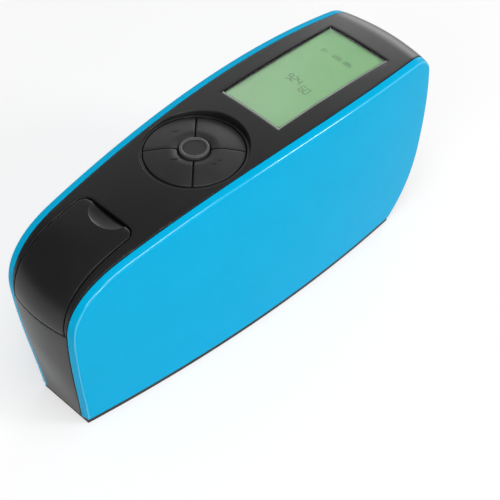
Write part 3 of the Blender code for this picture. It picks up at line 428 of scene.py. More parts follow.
def panel(name, loops, upper, lower, spacing, edge_round, material, extra=None):
    """Moulded panel over a flat outline with rounded edges.

    The first loop runs anticlockwise round the panel, the others clockwise round
    its openings. upper(s, y, sink) and lower(s, y) give the surfaces; extra holds
    further points where the surface needs them.
    """
    shares = (0.0, 0.06, 0.22, 0.50, 1.0)
    points, sinks, edges = [], [], []
    for loop in loops:
        for share in shares:
            distance = edge_round * share
            ring = inset(loop, distance)
            start = sum(len(p) for p in points)
            points.append(ring)
            sink = edge_round - math.sqrt(max(edge_round**2 - (edge_round - distance)**2, 0.0))
            sinks.append(np.full(len(ring), sink))
            if share == 0.0:
                edges += [(start + k, start + (k + 1) % len(ring)) for k in range(len(ring))]
    rim = np.concatenate(points)
    low, high = rim.min(0), rim.max(0)
    grid = np.stack(np.meshgrid(np.arange(low[0], high[0], spacing), np.arange(low[1], high[1], spacing)), -1)
    fill = grid.reshape(-1, 2)
    if extra is not None:
        extra = extra[inside(extra, loops)]
        extra = extra[nearest(extra, rim) > edge_round * 0.6]
        fill = fill[nearest(fill, extra) > spacing * 0.6]
        fill = np.concatenate([fill, extra])
    fill = fill[inside(fill, loops)]
    fill = fill[nearest(fill, rim) > edge_round * 0.6]
    far = nearest(fill, np.concatenate(loops)) > edge_round * 1.5
    fill = fill[far]
    flat = np.concatenate([rim, fill])
    sinks = np.concatenate([*sinks, np.zeros(len(fill))])
    made = delaunay_2d_cdt([Vector(p) for p in flat], edges, [], 0, 1e-7)
    corners = np.array([tuple(v) for v in made[0]])
    sinks = np.array([sinks[origin[0]] if origin else 0.0 for origin in made[3]])
    faces = np.array([f for f in made[2] if len(f) == 3])
    faces = faces[inside(corners[faces].mean(1), loops)]
    used = {}
    for face in faces:
        for a, b in zip(face, np.roll(face, -1)):
            used[(a, b)] = used.get((a, b), 0) + 1
    border = [(a, b) for a, b in used if (b, a) not in used]
    count = len(corners)
    s, y = corners[:, 0], corners[:, 1]
    vertices = np.concatenate([upper(s, y, sinks), lower(s, y)])
    all_faces = [tuple(int(i) for i in f) for f in faces]
    all_faces += [tuple(int(i) + count for i in reversed(f)) for f in faces]
    all_faces += [(int(b), int(a), int(a) + count, int(b) + count) for a, b in border]
    kept = sorted({i for f in all_faces for i in f})
    place = {old: new for new, old in enumerate(kept)}
    all_faces = [tuple(place[i] for i in f) for f in all_faces]
    return mesh_object(name, vertices[kept], all_faces, material)


def strip_loop(start, end):
    """Outline of a cover's whole width between two arc lengths."""
    steps = int((end - start) / OUTLINE_STEP)
    s = np.linspace(start, end, steps + 1)
    near = np.stack([s, -cover_half(s)], -1)
    far = np.stack([s, cover_half(s)], -1)[::-1]
    return resample(np.concatenate([near, far]), OUTLINE_STEP)


def circle(radius, steps, clockwise=False):
    """Circle round the key pad's axis, in arc length and y."""
    angles = 2 * np.pi * np.arange(steps) / steps * (-1 if clockwise else 1)
    x, y = PAD_X + radius * np.cos(angles), radius * np.sin(angles)
    return np.stack([arc_at(x, y), y], -1)


# Places read from the frame

def middle(node):
    low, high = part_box(node)
    return (low + high) / 2


PAD_X = middle("centre_key").x
PAD_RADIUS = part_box("key_display")[1].x - PAD_X
KEY_UNDERSIDE = PAD_HEIGHT - KEY_WALL
WINDOW_LOW, WINDOW_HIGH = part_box("display_window")
S_NOSE_SEAM = float(RIM.on_nose(SEAM_HEIGHT))
S_TAIL_SEAM = float(RIM.on_tail(SEAM_HEIGHT))
S_LID_END = float(RIM.at_x(LID_STEP_X)) - LID_SEAM
FOOT_CLEAR = SOLE_WALL - SHELL_FOOT + SEAT_GAP


# Blue side shells

def make_shell(name, node, side, material, edge_material):
    """Side shell: bowed panel, rounded crease, sloping rim, and the ledge that carries the covers."""
    columns, rows, inner_rows = 420, 18, 3
    s = np.linspace(0.0, RIM.total, columns + 1)
    share = s / RIM.total
    top, inward, half = RIM.point(s), RIM.inward(s), strip_half(s)

    def level(depth):
        p = top + inward * depth
        for end in (0, -1):
            p[end, 0] += (p[end, 1] - SHELL_FOOT) * inward[end, 1] / inward[end, 0]
            p[end, 1] = SHELL_FOOT
        p[:, 1] = np.maximum(p[:, 1], SHELL_FOOT)
        return p

    def foot(depth):
        line = level(depth)
        return np.stack([lerp(line[0, 0], line[-1, 0], share), np.full(columns + 1, SHELL_FOOT)], -1)

    def solid(p, y):
        return np.stack([p[:, 0], side * y, p[:, 1]], -1)

    crease, crease_foot = level(BAND_DROP), foot(BAND_DROP)
    height = np.maximum(np.linalg.norm(crease - crease_foot, axis=1), 1e-9)
    start = np.clip(1 - CREASE_ROUND / height, 0.0, 1.0)[:, None]
    lines = []
    for k in range(rows + 1):
        p = lerp(crease_foot, crease, start * (k / rows))
        lines.append(solid(p, outer_half(p[:, 0], p[:, 1])))
    corner = solid(crease, outer_half(crease[:, 0], crease[:, 1]))
    edge = solid(level(0.0), half)
    across = np.clip(CREASE_ROUND / np.linalg.norm(edge - corner, axis=1), 0.0, 0.5)[:, None]
    after = lerp(corner, edge, across)
    for t in np.linspace(0.0, 1.0, 7)[1:]:
        lines.append((1 - t)**2 * lines[rows] + 2 * t * (1 - t) * corner + t * t * after)
    before = lerp(edge, corner, np.clip(RIM_ROUND / np.linalg.norm(edge - corner, axis=1), 0.0, 0.3)[:, None])
    lines.append(lerp(after, before, 0.5))
    below = solid(level(RIM_ROUND), half)
    for t in np.linspace(0.0, 1.0, 5):
        lines.append((1 - t)**2 * before + 2 * t * (1 - t) * edge + t * t * below)
    lines.append(solid(level(REBATE_DEPTH), half))
    lines.append(solid(level(REBATE_DEPTH), half - REBATE_WIDTH))
    lines.append(solid(level(LEDGE_DEPTH), half - REBATE_WIDTH))
    ledge, ledge_foot = level(LEDGE_DEPTH), foot(LEDGE_DEPTH)
    for k in range(inner_rows + 1):
        p = lerp(ledge, ledge_foot, k / inner_rows)
        lines.append(solid(p, outer_half(p[:, 0], p[:, 1]) - SHELL_WALL))
    shell = loft(name, np.stack(lines, 1), material)
    # The rounded crease gets the lighter blue that paints a highlight along it
    second_finish(shell, edge_material, lambda face: CREASE_FACING[0] < abs(face.normal.y) < CREASE_FACING[1])
    fit(shell, "case", "blue_shell", node)


# Black covers

def fit(obj, body, slot_name, *nodes):
    """Let a piece ride on its body in place of the solids that it stands for; slot_name is not used."""
    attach(obj, body)
    if nodes:
        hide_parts(*nodes)


def second_finish(obj, material, chosen):
    """Give the chosen faces of a piece a second material."""
    obj.data.materials.append(material)
    for face in obj.data.polygons:
        face.material_index = int(chosen(face))


def plain_upper(s, y, sink):
    return skin(s, y, sink)


def plain_lower(s, y):
    return skin(s, y, np.full_like(y, COVER_WALL))


def dish_height(points):
    """Height of the key dish's surface over the given points."""
    radius = np.hypot(points[:, 0] - PAD_X, points[:, 1])
    wall_foot = DISH_RADIUS - DISH_WALL_RUN
    return PAD_HEIGHT + np.maximum(radius - wall_foot, 0.0) * DISH_WALL_SLOPE


def top_upper(s, y, sink):
    points = skin(s, y, sink)
    floor = dish_height(points) - sink
    points[:, 2] = smooth_minimum(points[:, 2], floor, DISH_LIP)
    return points


def top_lower(s, y):
    points = plain_lower(s, y)
    floor = dish_height(points) - COVER_WALL / 2
    points[:, 2] = np.minimum(points[:, 2], floor)
    return points


def lid_outline(margin):
    """Battery cover's outline from the nose seam, or larger by a margin for its opening."""
    corner, half = LID_CORNER + margin, LID_HALF + margin
    end = S_LID_END + margin
    low = S_NOSE_SEAM + SEAM_GAP
    arc = np.linspace(0.0, math.pi / 2, 13)
    near = [(end - corner + corner * math.sin(a), -(half - corner) - corner * math.cos(a)) for a in arc]
    far = [(end - corner + corner * math.cos(a), half - corner + corner * math.sin(a)) for a in arc]
    return resample([(low, -half), *near, *far, (low, half)], LID_OUTLINE_STEP)


def top_outline():
    """The top cover's outline, with the battery cover's opening cut out of its nose end."""
    low, high = S_NOSE_SEAM + SEAM_GAP, S_TAIL_SEAM - SEAM_GAP
    whole = strip_loop(low, high)
    opening = lid_outline(LID_SEAM)[::-1]
    start = int(np.argmin(np.hypot(opening[:, 0] - low, opening[:, 1] - LID_HALF - LID_SEAM)))
    opening = np.roll(opening, -start, axis=0)
    end = int(np.argmin(np.hypot(opening[:, 0] - low, opening[:, 1] + LID_HALF + LID_SEAM)))
    opening = opening[:end + 1]
    on_seam = (np.abs(whole[:, 0] - low) < 1e-7) & (np.abs(whole[:, 1]) < LID_HALF + 1.5 * LID_SEAM)
    first = int(np.argmax(on_seam))
    return np.concatenate([whole[:first], opening, whole[first + int(on_seam.sum()):]])


def rectangle_loop(low, high):
    """Clockwise outline of an upright box, in arc length and y."""
    corners = [(low[0], low[1]), (low[0], high[1]), (high[0], high[1]), (high[0], low[1])]
    loop = resample(corners, OUTLINE_STEP)
    return np.stack([arc_at(loop[:, 0], loop[:, 1]), loop[:, 1]], -1)


def make_covers(material, key_material):
    """Top cover with its key dish and display opening, nose cover, rear cover and key well."""
    well = circle(PAD_RADIUS + PAD_GAP, 160, clockwise=True)
    seam = Vector((WINDOW_SEAM, WINDOW_SEAM, 0))
    window = rectangle_loop(WINDOW_LOW - seam, WINDOW_HIGH + seam)
    wall_foot = DISH_RADIUS - DISH_WALL_RUN
    radii = [PAD_RADIUS + PAD_GAP + 0.00035, wall_foot - 0.0001,
             *np.linspace(wall_foot, DISH_RADIUS + 0.0003, 12), DISH_RADIUS + 0.0006, DISH_RADIUS + 0.0010]
    top = panel("top_strip", [top_outline(), well, window], top_upper, top_lower, COVER_MESH, COVER_ROUND,
                material, np.concatenate([circle(r, 180) for r in radii]))
    fit(top, "case", "black_cover", "top_cover")
    for name, node, low, high in (("nose_cap", "nose_cover", FOOT_CLEAR, S_NOSE_SEAM),
                                  ("rear_cap", "rear_cover", S_TAIL_SEAM, RIM.total - FOOT_CLEAR)):
        cap = panel(name, [strip_loop(low, high)], plain_upper, plain_lower, COVER_MESH, COVER_ROUND, material)
        fit(cap, "case", "black_cover", node)
    make_key_cup(key_material)


def make_key_cup(material):
    """Cup under the keys, its floor pierced for the five plungers."""
    radius, top = PAD_RADIUS + PAD_GAP, PAD_HEIGHT - COVER_WALL / 2
    floor = KEY_UNDERSIDE - KEY_TRAVEL - SEAT_GAP
    bottom = floor - CUP_FLOOR
    wall = [(radius, bottom), (radius + CUP_WALL, bottom), (radius + CUP_WALL, top), (radius, top)]
    ring = turned("key_cup", wall, (PAD_X, 0.0, 0.0), material, 96, closed=True)
    steps = np.arange(32) / 32 * 2 * np.pi
    bore = PLUNGER_RADIUS + SEAT_GAP
    holes = [np.stack([x + bore * np.cos(steps), y - bore * np.sin(steps)], -1) for x, y in plunger_places()]
    around = np.arange(128) / 128 * 2 * np.pi
    rim = np.stack([PAD_X + (radius - CONTACT) * np.cos(around), (radius - CONTACT) * np.sin(around)], -1)
    plate = panel("key_cup_floor", [rim, *holes], lambda x, y, sink: np.stack([x, y, floor - sink], -1),
                  lambda x, y: np.stack([x, y, np.full_like(x, bottom)], -1), 0.0016, COVER_ROUND, material)
    for obj in (ring, plate):
        fit(obj, "case", "black_cover")


def notch_depth(s, y):
    """Thumb notch, an ellipsoid scoop at the battery cover's rear edge."""
    reach = ((S_LID_END - s) / NOTCH_LENGTH)**2 + (y / NOTCH_HALF)**2
    return NOTCH_DEPTH * np.clip(1 - reach, 0.0, 1.0)**0.8


def make_lid(material):
    """Battery cover with its thumb notch and eased rear edge, on two tongues behind the nose cover."""
    def upper(s, y, sink):
        ease = LID_EASE_DEPTH * smoothstep(1 - (S_LID_END - s) / LID_EASE)
        return skin(s, y, sink + notch_depth(s, y) + ease)

    angles = np.linspace(math.pi / 2, 3 * math.pi / 2, 60)
    rings = [np.stack([S_LID_END + NOTCH_LENGTH * r * np.cos(angles), NOTCH_HALF * r * np.sin(angles)], -1)
             for r in (0.2, 0.4, 0.55, 0.7, 0.8, 0.88, 0.94, 0.98, 1.0, 1.04)]
    across = np.arange(-LID_HALF, LID_HALF, 0.0007)
    rings += [np.stack([np.full_like(across, S_LID_END - LID_EASE * k / 4), across], -1) for k in (1, 2, 3, 4)]
    lid = panel("battery_lid", [lid_outline(0.0)], upper, plain_lower, COVER_MESH, COVER_ROUND, material,
                np.concatenate(rings))
    fit(lid, "lid", "black_cover", "battery_cover")
    root, back = S_NOSE_SEAM + SEAM_GAP, COVER_WALL + SEAT_GAP
    stations = ((root - LID_HINGE_REACH, back), (root - SEAM_GAP, back), (root + SEAM_GAP, COVER_WALL * 0.5),
                (root + LID_HINGE_REACH, COVER_WALL * 0.5))
    for tag, side in (("left", 1), ("right", -1)):
        middle_y = side * HOOK_SPREAD / 2
        y = np.array((middle_y - HOOK_WIDTH / 2, middle_y + HOOK_WIDTH / 2))
        rings = [[*skin(np.full(2, s), y, np.full(2, near)),
                  *skin(np.full(2, s), y, np.full(2, back + HOOK_WALL))[::-1]] for s, near in stations]
        fit(loft(f"lid_hook_{tag}", rings, material), "lid", "black_cover")


def make_bosses(material):
    """Ribbed bosses of the side shells, open below for the sole screws."""
    low = SHELL_FOOT + SOLE_WALL + SEAT_GAP
    high, bore_top = low + BOSS_HEIGHT, low + BOSS_HEIGHT - BOSS_RIB
    profile = [(0, bore_top), (BOSS_BORE, bore_top), (BOSS_BORE, low), (BOSS_RADIUS, low), (BOSS_RADIUS, high),
               (0, high)]
    for k, (x, y) in enumerate(SCREW_PLACES, 1):
        boss = turned(f"screw_boss_{k}", profile, (x, y, 0.0), material, steps=32)
        near, near_x, far_x = y + math.copysign(BOSS_RADIUS * 0.96, y), x - BOSS_RIB / 2, x + BOSS_RIB / 2
        rings = []
        for z in (low, high):
            far = math.copysign(outer_half(x, z) - SHELL_WALL * 0.9, y)
            rings.append([(near_x, near, z), (far_x, near, z), (far_x, far, z), (near_x, far, z)])
        for obj in (boss, loft(f"screw_boss_rib_{k}", rings, material)):
            fit(obj, "case", "blue_shell")


# Keys

BUTTONS = (("key_display", "display_button"), ("key_left", "left_button"),
           ("key_nose", "nose_button"), ("key_right", "right_button"))


def sector(inner, outer, quarter, steps=28):
    """Outline of a ring sector between two diagonal slots."""
    points = []
    for radius, order in ((outer, 1), (inner, -1)):
        spread = math.pi / 4 - math.asin(KEY_SPLIT / 2 / radius)
        for k in range(steps + 1):
            angle = math.pi / 2 * quarter + order * lerp(-spread, spread, k / steps)
            points.append((PAD_X + radius * math.cos(angle), radius * math.sin(angle)))
    return points


def key_top(radius):
    """Height of the domed keys at a distance from the pad's axis."""
    return PAD_HEIGHT + PAD_RISE * (1 - (radius / PAD_RADIUS)**2)


def plunger_places():
    """The four keys' plungers on +X, +Y, -X and -Y, then the centre key's."""
    around = [math.pi / 2 * k for k in range(4)]
    return [(PAD_X + PLUNGER_RING * math.cos(a), PLUNGER_RING * math.sin(a)) for a in around] + [(PAD_X, 0.0)]


def make_keys(material):
    """Four domed sector keys with rounded edges and a conical inner flank, each over its plunger."""
    foot_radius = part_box("centre_key")[1].x - PAD_X + PAD_GAP
    flank_slope = WELL_DEPTH / (WELL_RADIUS - foot_radius)

    def upper(x, y, sink):
        radius = np.hypot(x - PAD_X, y)
        flank = key_top(WELL_RADIUS) - (WELL_RADIUS - radius) * flank_slope
        return np.stack([x, y, smooth_minimum(key_top(radius), flank, WELL_BLEND) - sink], -1)

    def lower(x, y):
        return np.stack([x, y, key_top(np.hypot(x - PAD_X, y)) - KEY_WALL], -1)

    angles = 2 * np.pi * np.arange(120) / 120
    rings = np.concatenate([np.stack([PAD_X + r * np.cos(angles), r * np.sin(angles)], -1)
                            for r in WELL_RADIUS + np.arange(-0.0007, 0.0015, 0.0003)])
    foot, top = KEY_UNDERSIDE - PLUNGER_LENGTH, float(key_top(PLUNGER_RING)) - KEY_WALL - CONTACT
    stem_profile = [(0, foot), (PLUNGER_RADIUS - KEY_ROUND, foot), (PLUNGER_RADIUS, foot + KEY_ROUND),
                    (PLUNGER_RADIUS, top), (0, top)]
    for quarter, (node, body) in enumerate(BUTTONS):
        outline = resample(sector(foot_radius, PAD_RADIUS, quarter), 0.0005)
        key = panel(node.replace("key", "pad_key"), [outline], upper, lower, 0.0010, KEY_ROUND, material, rings)
        fit(key, body, "key_plastic", node)
        stem = turned(f"{node}_plunger", stem_profile, (*plunger_places()[quarter], 0.0), material, steps=32)
        fit(stem, body, "key_plastic")


def make_centre_key(material, bead_sheen_material):
    """Round key: a flat disc inside a raised bead painted grey as the sheen its rounded face catches, over its
    plunger.
    """
    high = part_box("centre_key")[1]
    radius, top = high.x - PAD_X, high.z
    foot, inner, shoulder = KEY_UNDERSIDE - PLUNGER_LENGTH, radius - CENTRE_BEAD, top - CENTRE_BEAD
    profile = [(0, foot), (PLUNGER_RADIUS, foot), (PLUNGER_RADIUS, KEY_UNDERSIDE), (radius, KEY_UNDERSIDE),
               (radius, shoulder), (inner, shoulder), (inner, top - CENTRE_DISH - KEY_ROUND / 2),
               (inner - KEY_ROUND / 2, top - CENTRE_DISH), (0, top - CENTRE_DISH)]
    key = turned("centre_button", profile, (PAD_X, 0.0, 0.0), material, steps=112)
    section = [(inner + CONTACT, shoulder + CONTACT), (radius, shoulder + CONTACT)]
    for k in range(13):
        angle = math.pi * k / 12
        share = (1 - math.cos(angle)) / 2
        rise = math.sin(angle)**0.45 if 0 < k < 12 else 0.0
        drop = lerp(CENTRE_BEAD * 0.55, CENTRE_DISH * 1.3, share)
        section.append((radius - (CENTRE_BEAD - CONTACT) * share, top - drop * (1 - rise)))
    bead = turned("centre_button_bead", section, (PAD_X, 0.0, 0.0), bead_sheen_material, steps=112, closed=True)
    fit(key, "centre_button", "key_plastic", "centre_key")
    fit(bead, "centre_button", "key_plastic")


def make_domes(material):
    """Snap domes: thin steel caps, each under its own key."""
    shares = np.linspace(0.0, 1.0, 9)
    for k, side in enumerate(("display", "left", "nose", "right", "centre"), 1):
        node = f"dome_switch_{k}"
        low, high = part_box(node)
        place, rise, radius = (middle(node).x, middle(node).y, low.z), high.z - low.z, (high.x - low.x) / 2
        inner = radius - 2 * DOME_WALL
        profile = [(inner * r, (rise - DOME_WALL) * (1 - r * r)) for r in shares]
        profile += [(radius * r, rise * (1 - r * r)) for r in shares[::-1]]
        dome = turned(f"dome_cap_{k}", profile, place, material, steps=48)
        fit(dome, "case", "contact_steel", node)
        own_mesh(dome)


# Display

EDGE_Y = WINDOW_HIGH.y + WINDOW_SEAM
EDGE_X = (WINDOW_LOW.x - WINDOW_SEAM, WINDOW_HIGH.x + WINDOW_SEAM)
EDGE_HEIGHTS = [float(skin(arc_at(x, EDGE_Y), np.asarray(EDGE_Y), np.asarray(0.0))[2]) for x in EDGE_X]
DISPLAY_SLOPE = (EDGE_HEIGHTS[1] - EDGE_HEIGHTS[0]) / (EDGE_X[1] - EDGE_X[0])


def display_height(x, level):
    """Height of a display layer, its level measured from the line between the window's ends."""
    return sum(EDGE_HEIGHTS) / 2 + (x - sum(EDGE_X) / 2) * DISPLAY_SLOPE + level


def pane_lower(s, y):
    points = skin(s, y, np.zeros_like(y))
    points[:, 2] = display_height(points[:, 0], -WINDOW_WALL)
    return points


def make_window(material, highlight_rim_material, edge_material):
    """Flush pane that follows the crown: walls blackened, rim painted pale on the near and nose sides as a
    highlight along the glass edge.
    """
    inner_low = WINDOW_LOW + Vector((RIM_NOSE, RIM_WIDTH, 0))
    inner_high = WINDOW_HIGH - Vector((RIM_WIDTH, RIM_WIDTH, 0))
    outer = rectangle_loop(WINDOW_LOW, WINDOW_HIGH)[::-1]
    opening = rectangle_loop(inner_low, inner_high)
    joint = Vector((RIM_JOINT, RIM_JOINT, 0))
    pane_loop = rectangle_loop(inner_low + joint, inner_high - joint)[::-1]
    # The inner rings keep the edge's turned normals out of the wide triangles, where they
    # would show as glints
    rings = np.concatenate([inset(pane_loop, PANE_RING * k) for k in (1, 2, 4)])
    pane = panel("window_pane", [pane_loop], plain_upper, pane_lower, PANE_MESH, WINDOW_ROUND / 8,
                 material, rings)
    second_finish(pane, edge_material, lambda face: abs(face.normal.z) < PANE_FACING)
    rim = panel("window_rim", [outer, opening], plain_upper,
                lambda s, y: skin(s, y, np.full_like(y, RIM_STEP)), PANE_MESH, WINDOW_ROUND, highlight_rim_material)
    # Only the near and nose sides of the rim keep the painted highlight; the far and tail sides take the black
    # lacquer
    second_finish(rim, edge_material, lambda face: face.center.x > inner_high.x or face.center.y > inner_high.y)
    fit(pane, "case", "clear_window", "display_window")
    fit(rim, "case", "clear_window")


# What repeats: one stamp set out on points by a Geometry Nodes tree

def apply_modifiers(obj):
    """Make an object's evaluated shape its plain mesh."""
    bpy.context.view_layer.update()
    solid = bpy.data.meshes.new_from_object(obj.evaluated_get(bpy.context.evaluated_depsgraph_get()))
    obj.modifiers.clear()
    obj.data = solid


def repeat_tree():
    """Tree that sets a stamp on each point with the point's own turn and size, and a fixed random twist."""
    tree = bpy.data.node_groups.new("repeat_stamp", "GeometryNodeTree")
    for name, way, kind in (("Geometry", "INPUT", "Geometry"), ("Stamp", "INPUT", "Object"),
                            ("Twist", "INPUT", "Float"), ("Seed", "INPUT", "Int"),
                            ("Material", "INPUT", "Material"), ("Geometry", "OUTPUT", "Geometry")):
        tree.interface.new_socket(name=name, in_out=way, socket_type="NodeSocket" + kind)
    given = add(tree, "NodeGroupInput").outputs
    stamp = add(tree, "GeometryNodeObjectInfo", {"Object": given["Stamp"]})
    turn, size = [add(tree, "GeometryNodeInputNamedAttribute", {"data_type": "FLOAT_VECTOR", "Name": name})
                  .outputs["Attribute"] for name in ("turn", "size")]
    random = add(tree, "FunctionNodeRandomValue", {"data_type": "FLOAT", "Seed": given["Seed"]})
    share = [o for o in random.outputs if o.type == "VALUE"][0]
    twist = add(tree, "ShaderNodeMath", {"operation": "MULTIPLY", 0: share, 1: given["Twist"]})
    own = add(tree, "ShaderNodeCombineXYZ", {"Z": twist.outputs[0]})
    facing = add(tree, "FunctionNodeEulerToRotation", {"Euler": turn})
    spin = add(tree, "FunctionNodeEulerToRotation", {"Euler": own.outputs[0]})
    both = add(tree, "FunctionNodeRotateRotation", {"rotation_space": "LOCAL", "Rotation": facing.outputs[0],
                                                    "Rotate By": spin.outputs[0]})
    placed = add(tree, "GeometryNodeInstanceOnPoints", {
        "Points": given["Geometry"], "Instance": stamp.outputs["Geometry"], "Rotation": both.outputs[0],
        "Scale": size})
    real = add(tree, "GeometryNodeRealizeInstances", {"Geometry": placed.outputs[0]})
    painted = add(tree, "GeometryNodeSetMaterial", {"Geometry": real.outputs[0], "Material": given["Material"]})
    add(tree, "NodeGroupOutput", {0: painted.outputs[0]})
    return tree


def repeat(name, stamp, places, material, twist=0.0, seed=7):
    """One mesh of the stamp at each (position, turn in radians, size); the stamp itself is removed."""
    mesh = bpy.data.meshes.new(name + "_points")
    mesh.from_pydata([tuple(p) for p, _, _ in places], [], [])
    for attribute, column in (("turn", 1), ("size", 2)):
        values = mesh.attributes.new(attribute, "FLOAT_VECTOR", "POINT")
        values.data.foreach_set("vector", np.array([place[column] for place in places], float).ravel())
    host = bpy.data.objects.new(name, mesh)
    bpy.context.scene.collection.objects.link(host)
    tree = bpy.data.node_groups.get("repeat_stamp") or repeat_tree()
    modifier = host.modifiers.new("repeat", "NODES")
    modifier.node_group = tree
    given = {"Stamp": stamp, "Twist": twist, "Seed": seed, "Material": material}
    for item in tree.interface.items_tree:
        if item.item_type == "SOCKET" and item.in_out == "INPUT" and item.name in given:
            modifier[item.identifier] = given[item.name]
    apply_modifiers(host)
    bpy.data.objects.remove(stamp, do_unlink=True)
    return host


def prism(name, outline, material, levels=((1.0, 0.0), (1.0, 1.0))):
    """Body over a flat outline, each level a size and a height."""
    return loft(name, [[(x * k, y * k, z) for x, y in outline] for k, z in levels], material)


def digits(text, start_y, x, height):
    """Segments of plain numbers that read towards -Y, with their tops towards +X."""
    width, stroke, pitch = height * 0.50, max(height * 0.10, MARK_STROKE), height * 0.72
    tilt = -math.atan(DISPLAY_SLOPE)
    places = []
    for k, digit in enumerate(text):
        centre_y = start_y - k * pitch - width / 2
        for letter in DIGITS[digit]:
            up, left = SEGMENTS[letter]
            across = left == 0.0
            at = x + up * height
            length = width * 0.86 if across else height * 0.46
            places.append(((at, centre_y + left * width, display_height(at, MARK_LEVEL)),
                           (tilt, 0.0, math.pi / 2) if across else (0.0, tilt, 0.0),
                           (length, stroke, MARK_WALL)))
    return places


def make_marks(material, ink):
    """Plain numbers on the display, and the keys' printed dashes and dots."""
    rows = (("01", 0.0066, 0.0520, 0.0016), ("1200", 0.0022, 0.0520, 0.0016), ("085", -0.0034, 0.0520, 0.0016),
            ("924", 0.0046, 0.0336, 0.0029), ("60", -0.0028, 0.0318, 0.0029))
    places = [place for row in rows for place in digits(*row)]
    pointed = [(-0.5, 0.0), (-0.4, -0.5), (0.4, -0.5), (0.5, 0.0), (0.4, 0.5), (-0.4, 0.5)]
    fit(repeat("display_numbers", prism("segment_stamp", pointed, material), places, material), "case", "lcd")
    rounded = [(0.5 * math.cos(a), 0.5 * math.sin(a)) for a in 2 * np.pi * np.arange(24) / 24]
    prints = (("left_button", "key_left", [(0.0014, 0.0105, 0.0030)]),
              ("nose_button", "key_nose", [(-0.0082, 0.0006, 0.0026)]),
              ("right_button", "key_right", [(0.0019, -0.0098, 0.0012), (-0.0005, -0.0098, 0.0016)]))
    for body, key, spots in prints:
        places = []
        for x, y, length in spots:
            radius = math.hypot(x, y)
            fall = math.atan(2 * PAD_RISE * radius / PAD_RADIUS**2)
            turn = Matrix.Rotation(math.radians(MARK_TURN), 3, "Z")
            facing = Matrix.Rotation(fall, 3, Vector((-y, x, 0))) @ turn
            places.append(((PAD_X + x, y, float(key_top(radius)) - MARK_WALL / 2), tuple(facing.to_euler()),
                           (length, MARK_WIDTH, MARK_WALL)))
        fit(repeat(f"{key}_mark", prism("dash_stamp", rounded, ink), places, ink), body, "key_plastic")


SCREW_PLACES = [tuple(middle(f"sole_screw_{k}"))[:2] for k in range(1, 5)]


def screw_stamp(material):
    """Pan head screw, head down, with a cross recess cut into its head."""
    head, high = SCREW_HEAD_RADIUS, SCREW_HEAD_HEIGHT
    rise = [(head * math.sin(a), high * 0.45 * (1 - math.cos(a))) for a in np.linspace(0.0, math.pi / 2, 7)]
    shaft = [(SCREW_RADIUS, high), (SCREW_RADIUS, SCREW_LENGTH - 0.0006), (SCREW_RADIUS * 0.5, SCREW_LENGTH),
             (0, SCREW_LENGTH)]
    screw = turned("screw_stamp", rise + [(head, high)] + shaft, (0, 0, 0), material, steps=40)
    arm, width = head * 0.62, head * 0.11
    plus = [(arm, -width), (arm, width), (width, width), (width, arm), (-width, arm), (-width, width),
            (-arm, width), (-arm, -width), (-width, -width), (-width, -arm), (width, -arm), (width, -width)]
    cross = prism("recess_tool", plus, material, ((1.0, -high), (1.0, high * 0.1), (0.45, high * 0.8)))
    modifier = screw.modifiers.new("recess", "BOOLEAN")
    modifier.operation, modifier.solver, modifier.object = "DIFFERENCE", "EXACT", cross
    apply_modifiers(screw)
    bpy.data.objects.remove(cross, do_unlink=True)
    return screw


def make_screws(material):
    """The four sole screws, each turned at random as it was driven home."""
    places = [((x, y, SCREW_SEAT), (0.0, 0.0, 0.0), (1.0, 1.0, 1.0)) for x, y in SCREW_PLACES]
    screws = repeat("sole_screws", screw_stamp(material), places, material, twist=math.pi)
    fit(screws, "case", "contact_steel", *[f"sole_screw_{k}" for k in range(1, 5)])


def chip_stamp(material):
    """Moulded chip body of unit size with drawn-in upper edges."""
    square = [(-0.5, -0.5), (0.5, -0.5), (0.5, 0.5), (-0.5, 0.5)]
    return prism("chip_stamp", square, material, ((1, 0), (1, 0.55), (0.9, 1)))


def make_board_parts(body_material, lead_material):
    """Moulded chips and rows of tinned leads on the main board."""
    low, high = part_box("main_board")
    centre, level = (low + high) / 2, high.z + CONTACT
    places = [((centre.x + x, y, level), (0, 0, 0), (dx, dy, CHIP_HEIGHT)) for x, y, dx, dy in CHIPS]
    places += [((centre.x + 0.040 - 0.0045 * (k % 6), 0.0095 - 0.019 * (k // 6), level), (0, 0, 0),
                (0.0020, 0.0012, 0.0007)) for k in range(12)]
    leads = []
    for x, y, dx, dy in CHIPS:
        count = int(dx / LEAD_PITCH)
        for k in range(count):
            for side in (-1, 1):
                at = centre.x + x + (k - (count - 1) / 2) * LEAD_PITCH
                leads.append(((at, y + side * (dy / 2 + 0.0006), level), (0, 0, 0), (0.0004, 0.0010, 0.0002)))
    for name, spots, material, slot_name in (("board_chips", places, body_material, "black_nylon"),
                                             ("board_leads", leads, lead_material, "contact_steel")):
        fit(repeat(name, chip_stamp(material), spots, material), "case", slot_name)


# Materials

def linear(hex_colour):
    """sRGB hex as linear red, green, blue and full alpha."""
    channels = [int(hex_colour[i:i + 2], 16) / 255 for i in (1, 3, 5)]
    return (*[c / 12.92 if c <= 0.04045 else ((c + 0.055) / 1.055)**2.4 for c in channels], 1.0)


def add(tree, kind, settings=None):
    """Add a node, or take one that is there, with its settings and links.

    Settings name properties or inputs; a value that is another node's output is linked.
    """
    node = tree.nodes.new(kind) if isinstance(kind, str) else kind
    for name, value in (settings or {}).items():
        if isinstance(value, bpy.types.NodeSocket):
            tree.links.new(value, node.inputs[name])
        elif isinstance(name, int) or name in node.inputs:
            node.inputs[name].default_value = value
        else:
            setattr(node, name, value)
    return node


def per_mm(millimetres):
    """Texture scale whose features are that far apart."""
    return 1000.0 / millimetres


def start_material(name, values):
    """New material with its shader's plain values set, and the piece's own coordinates."""
    material = bpy.data.materials.new(name)
    material.use_nodes = True
    tree = material.node_tree
    shader = add(tree, tree.nodes["Principled BSDF"], values)
    return material, tree, shader, add(tree, "ShaderNodeTexCoord").outputs["Object"]


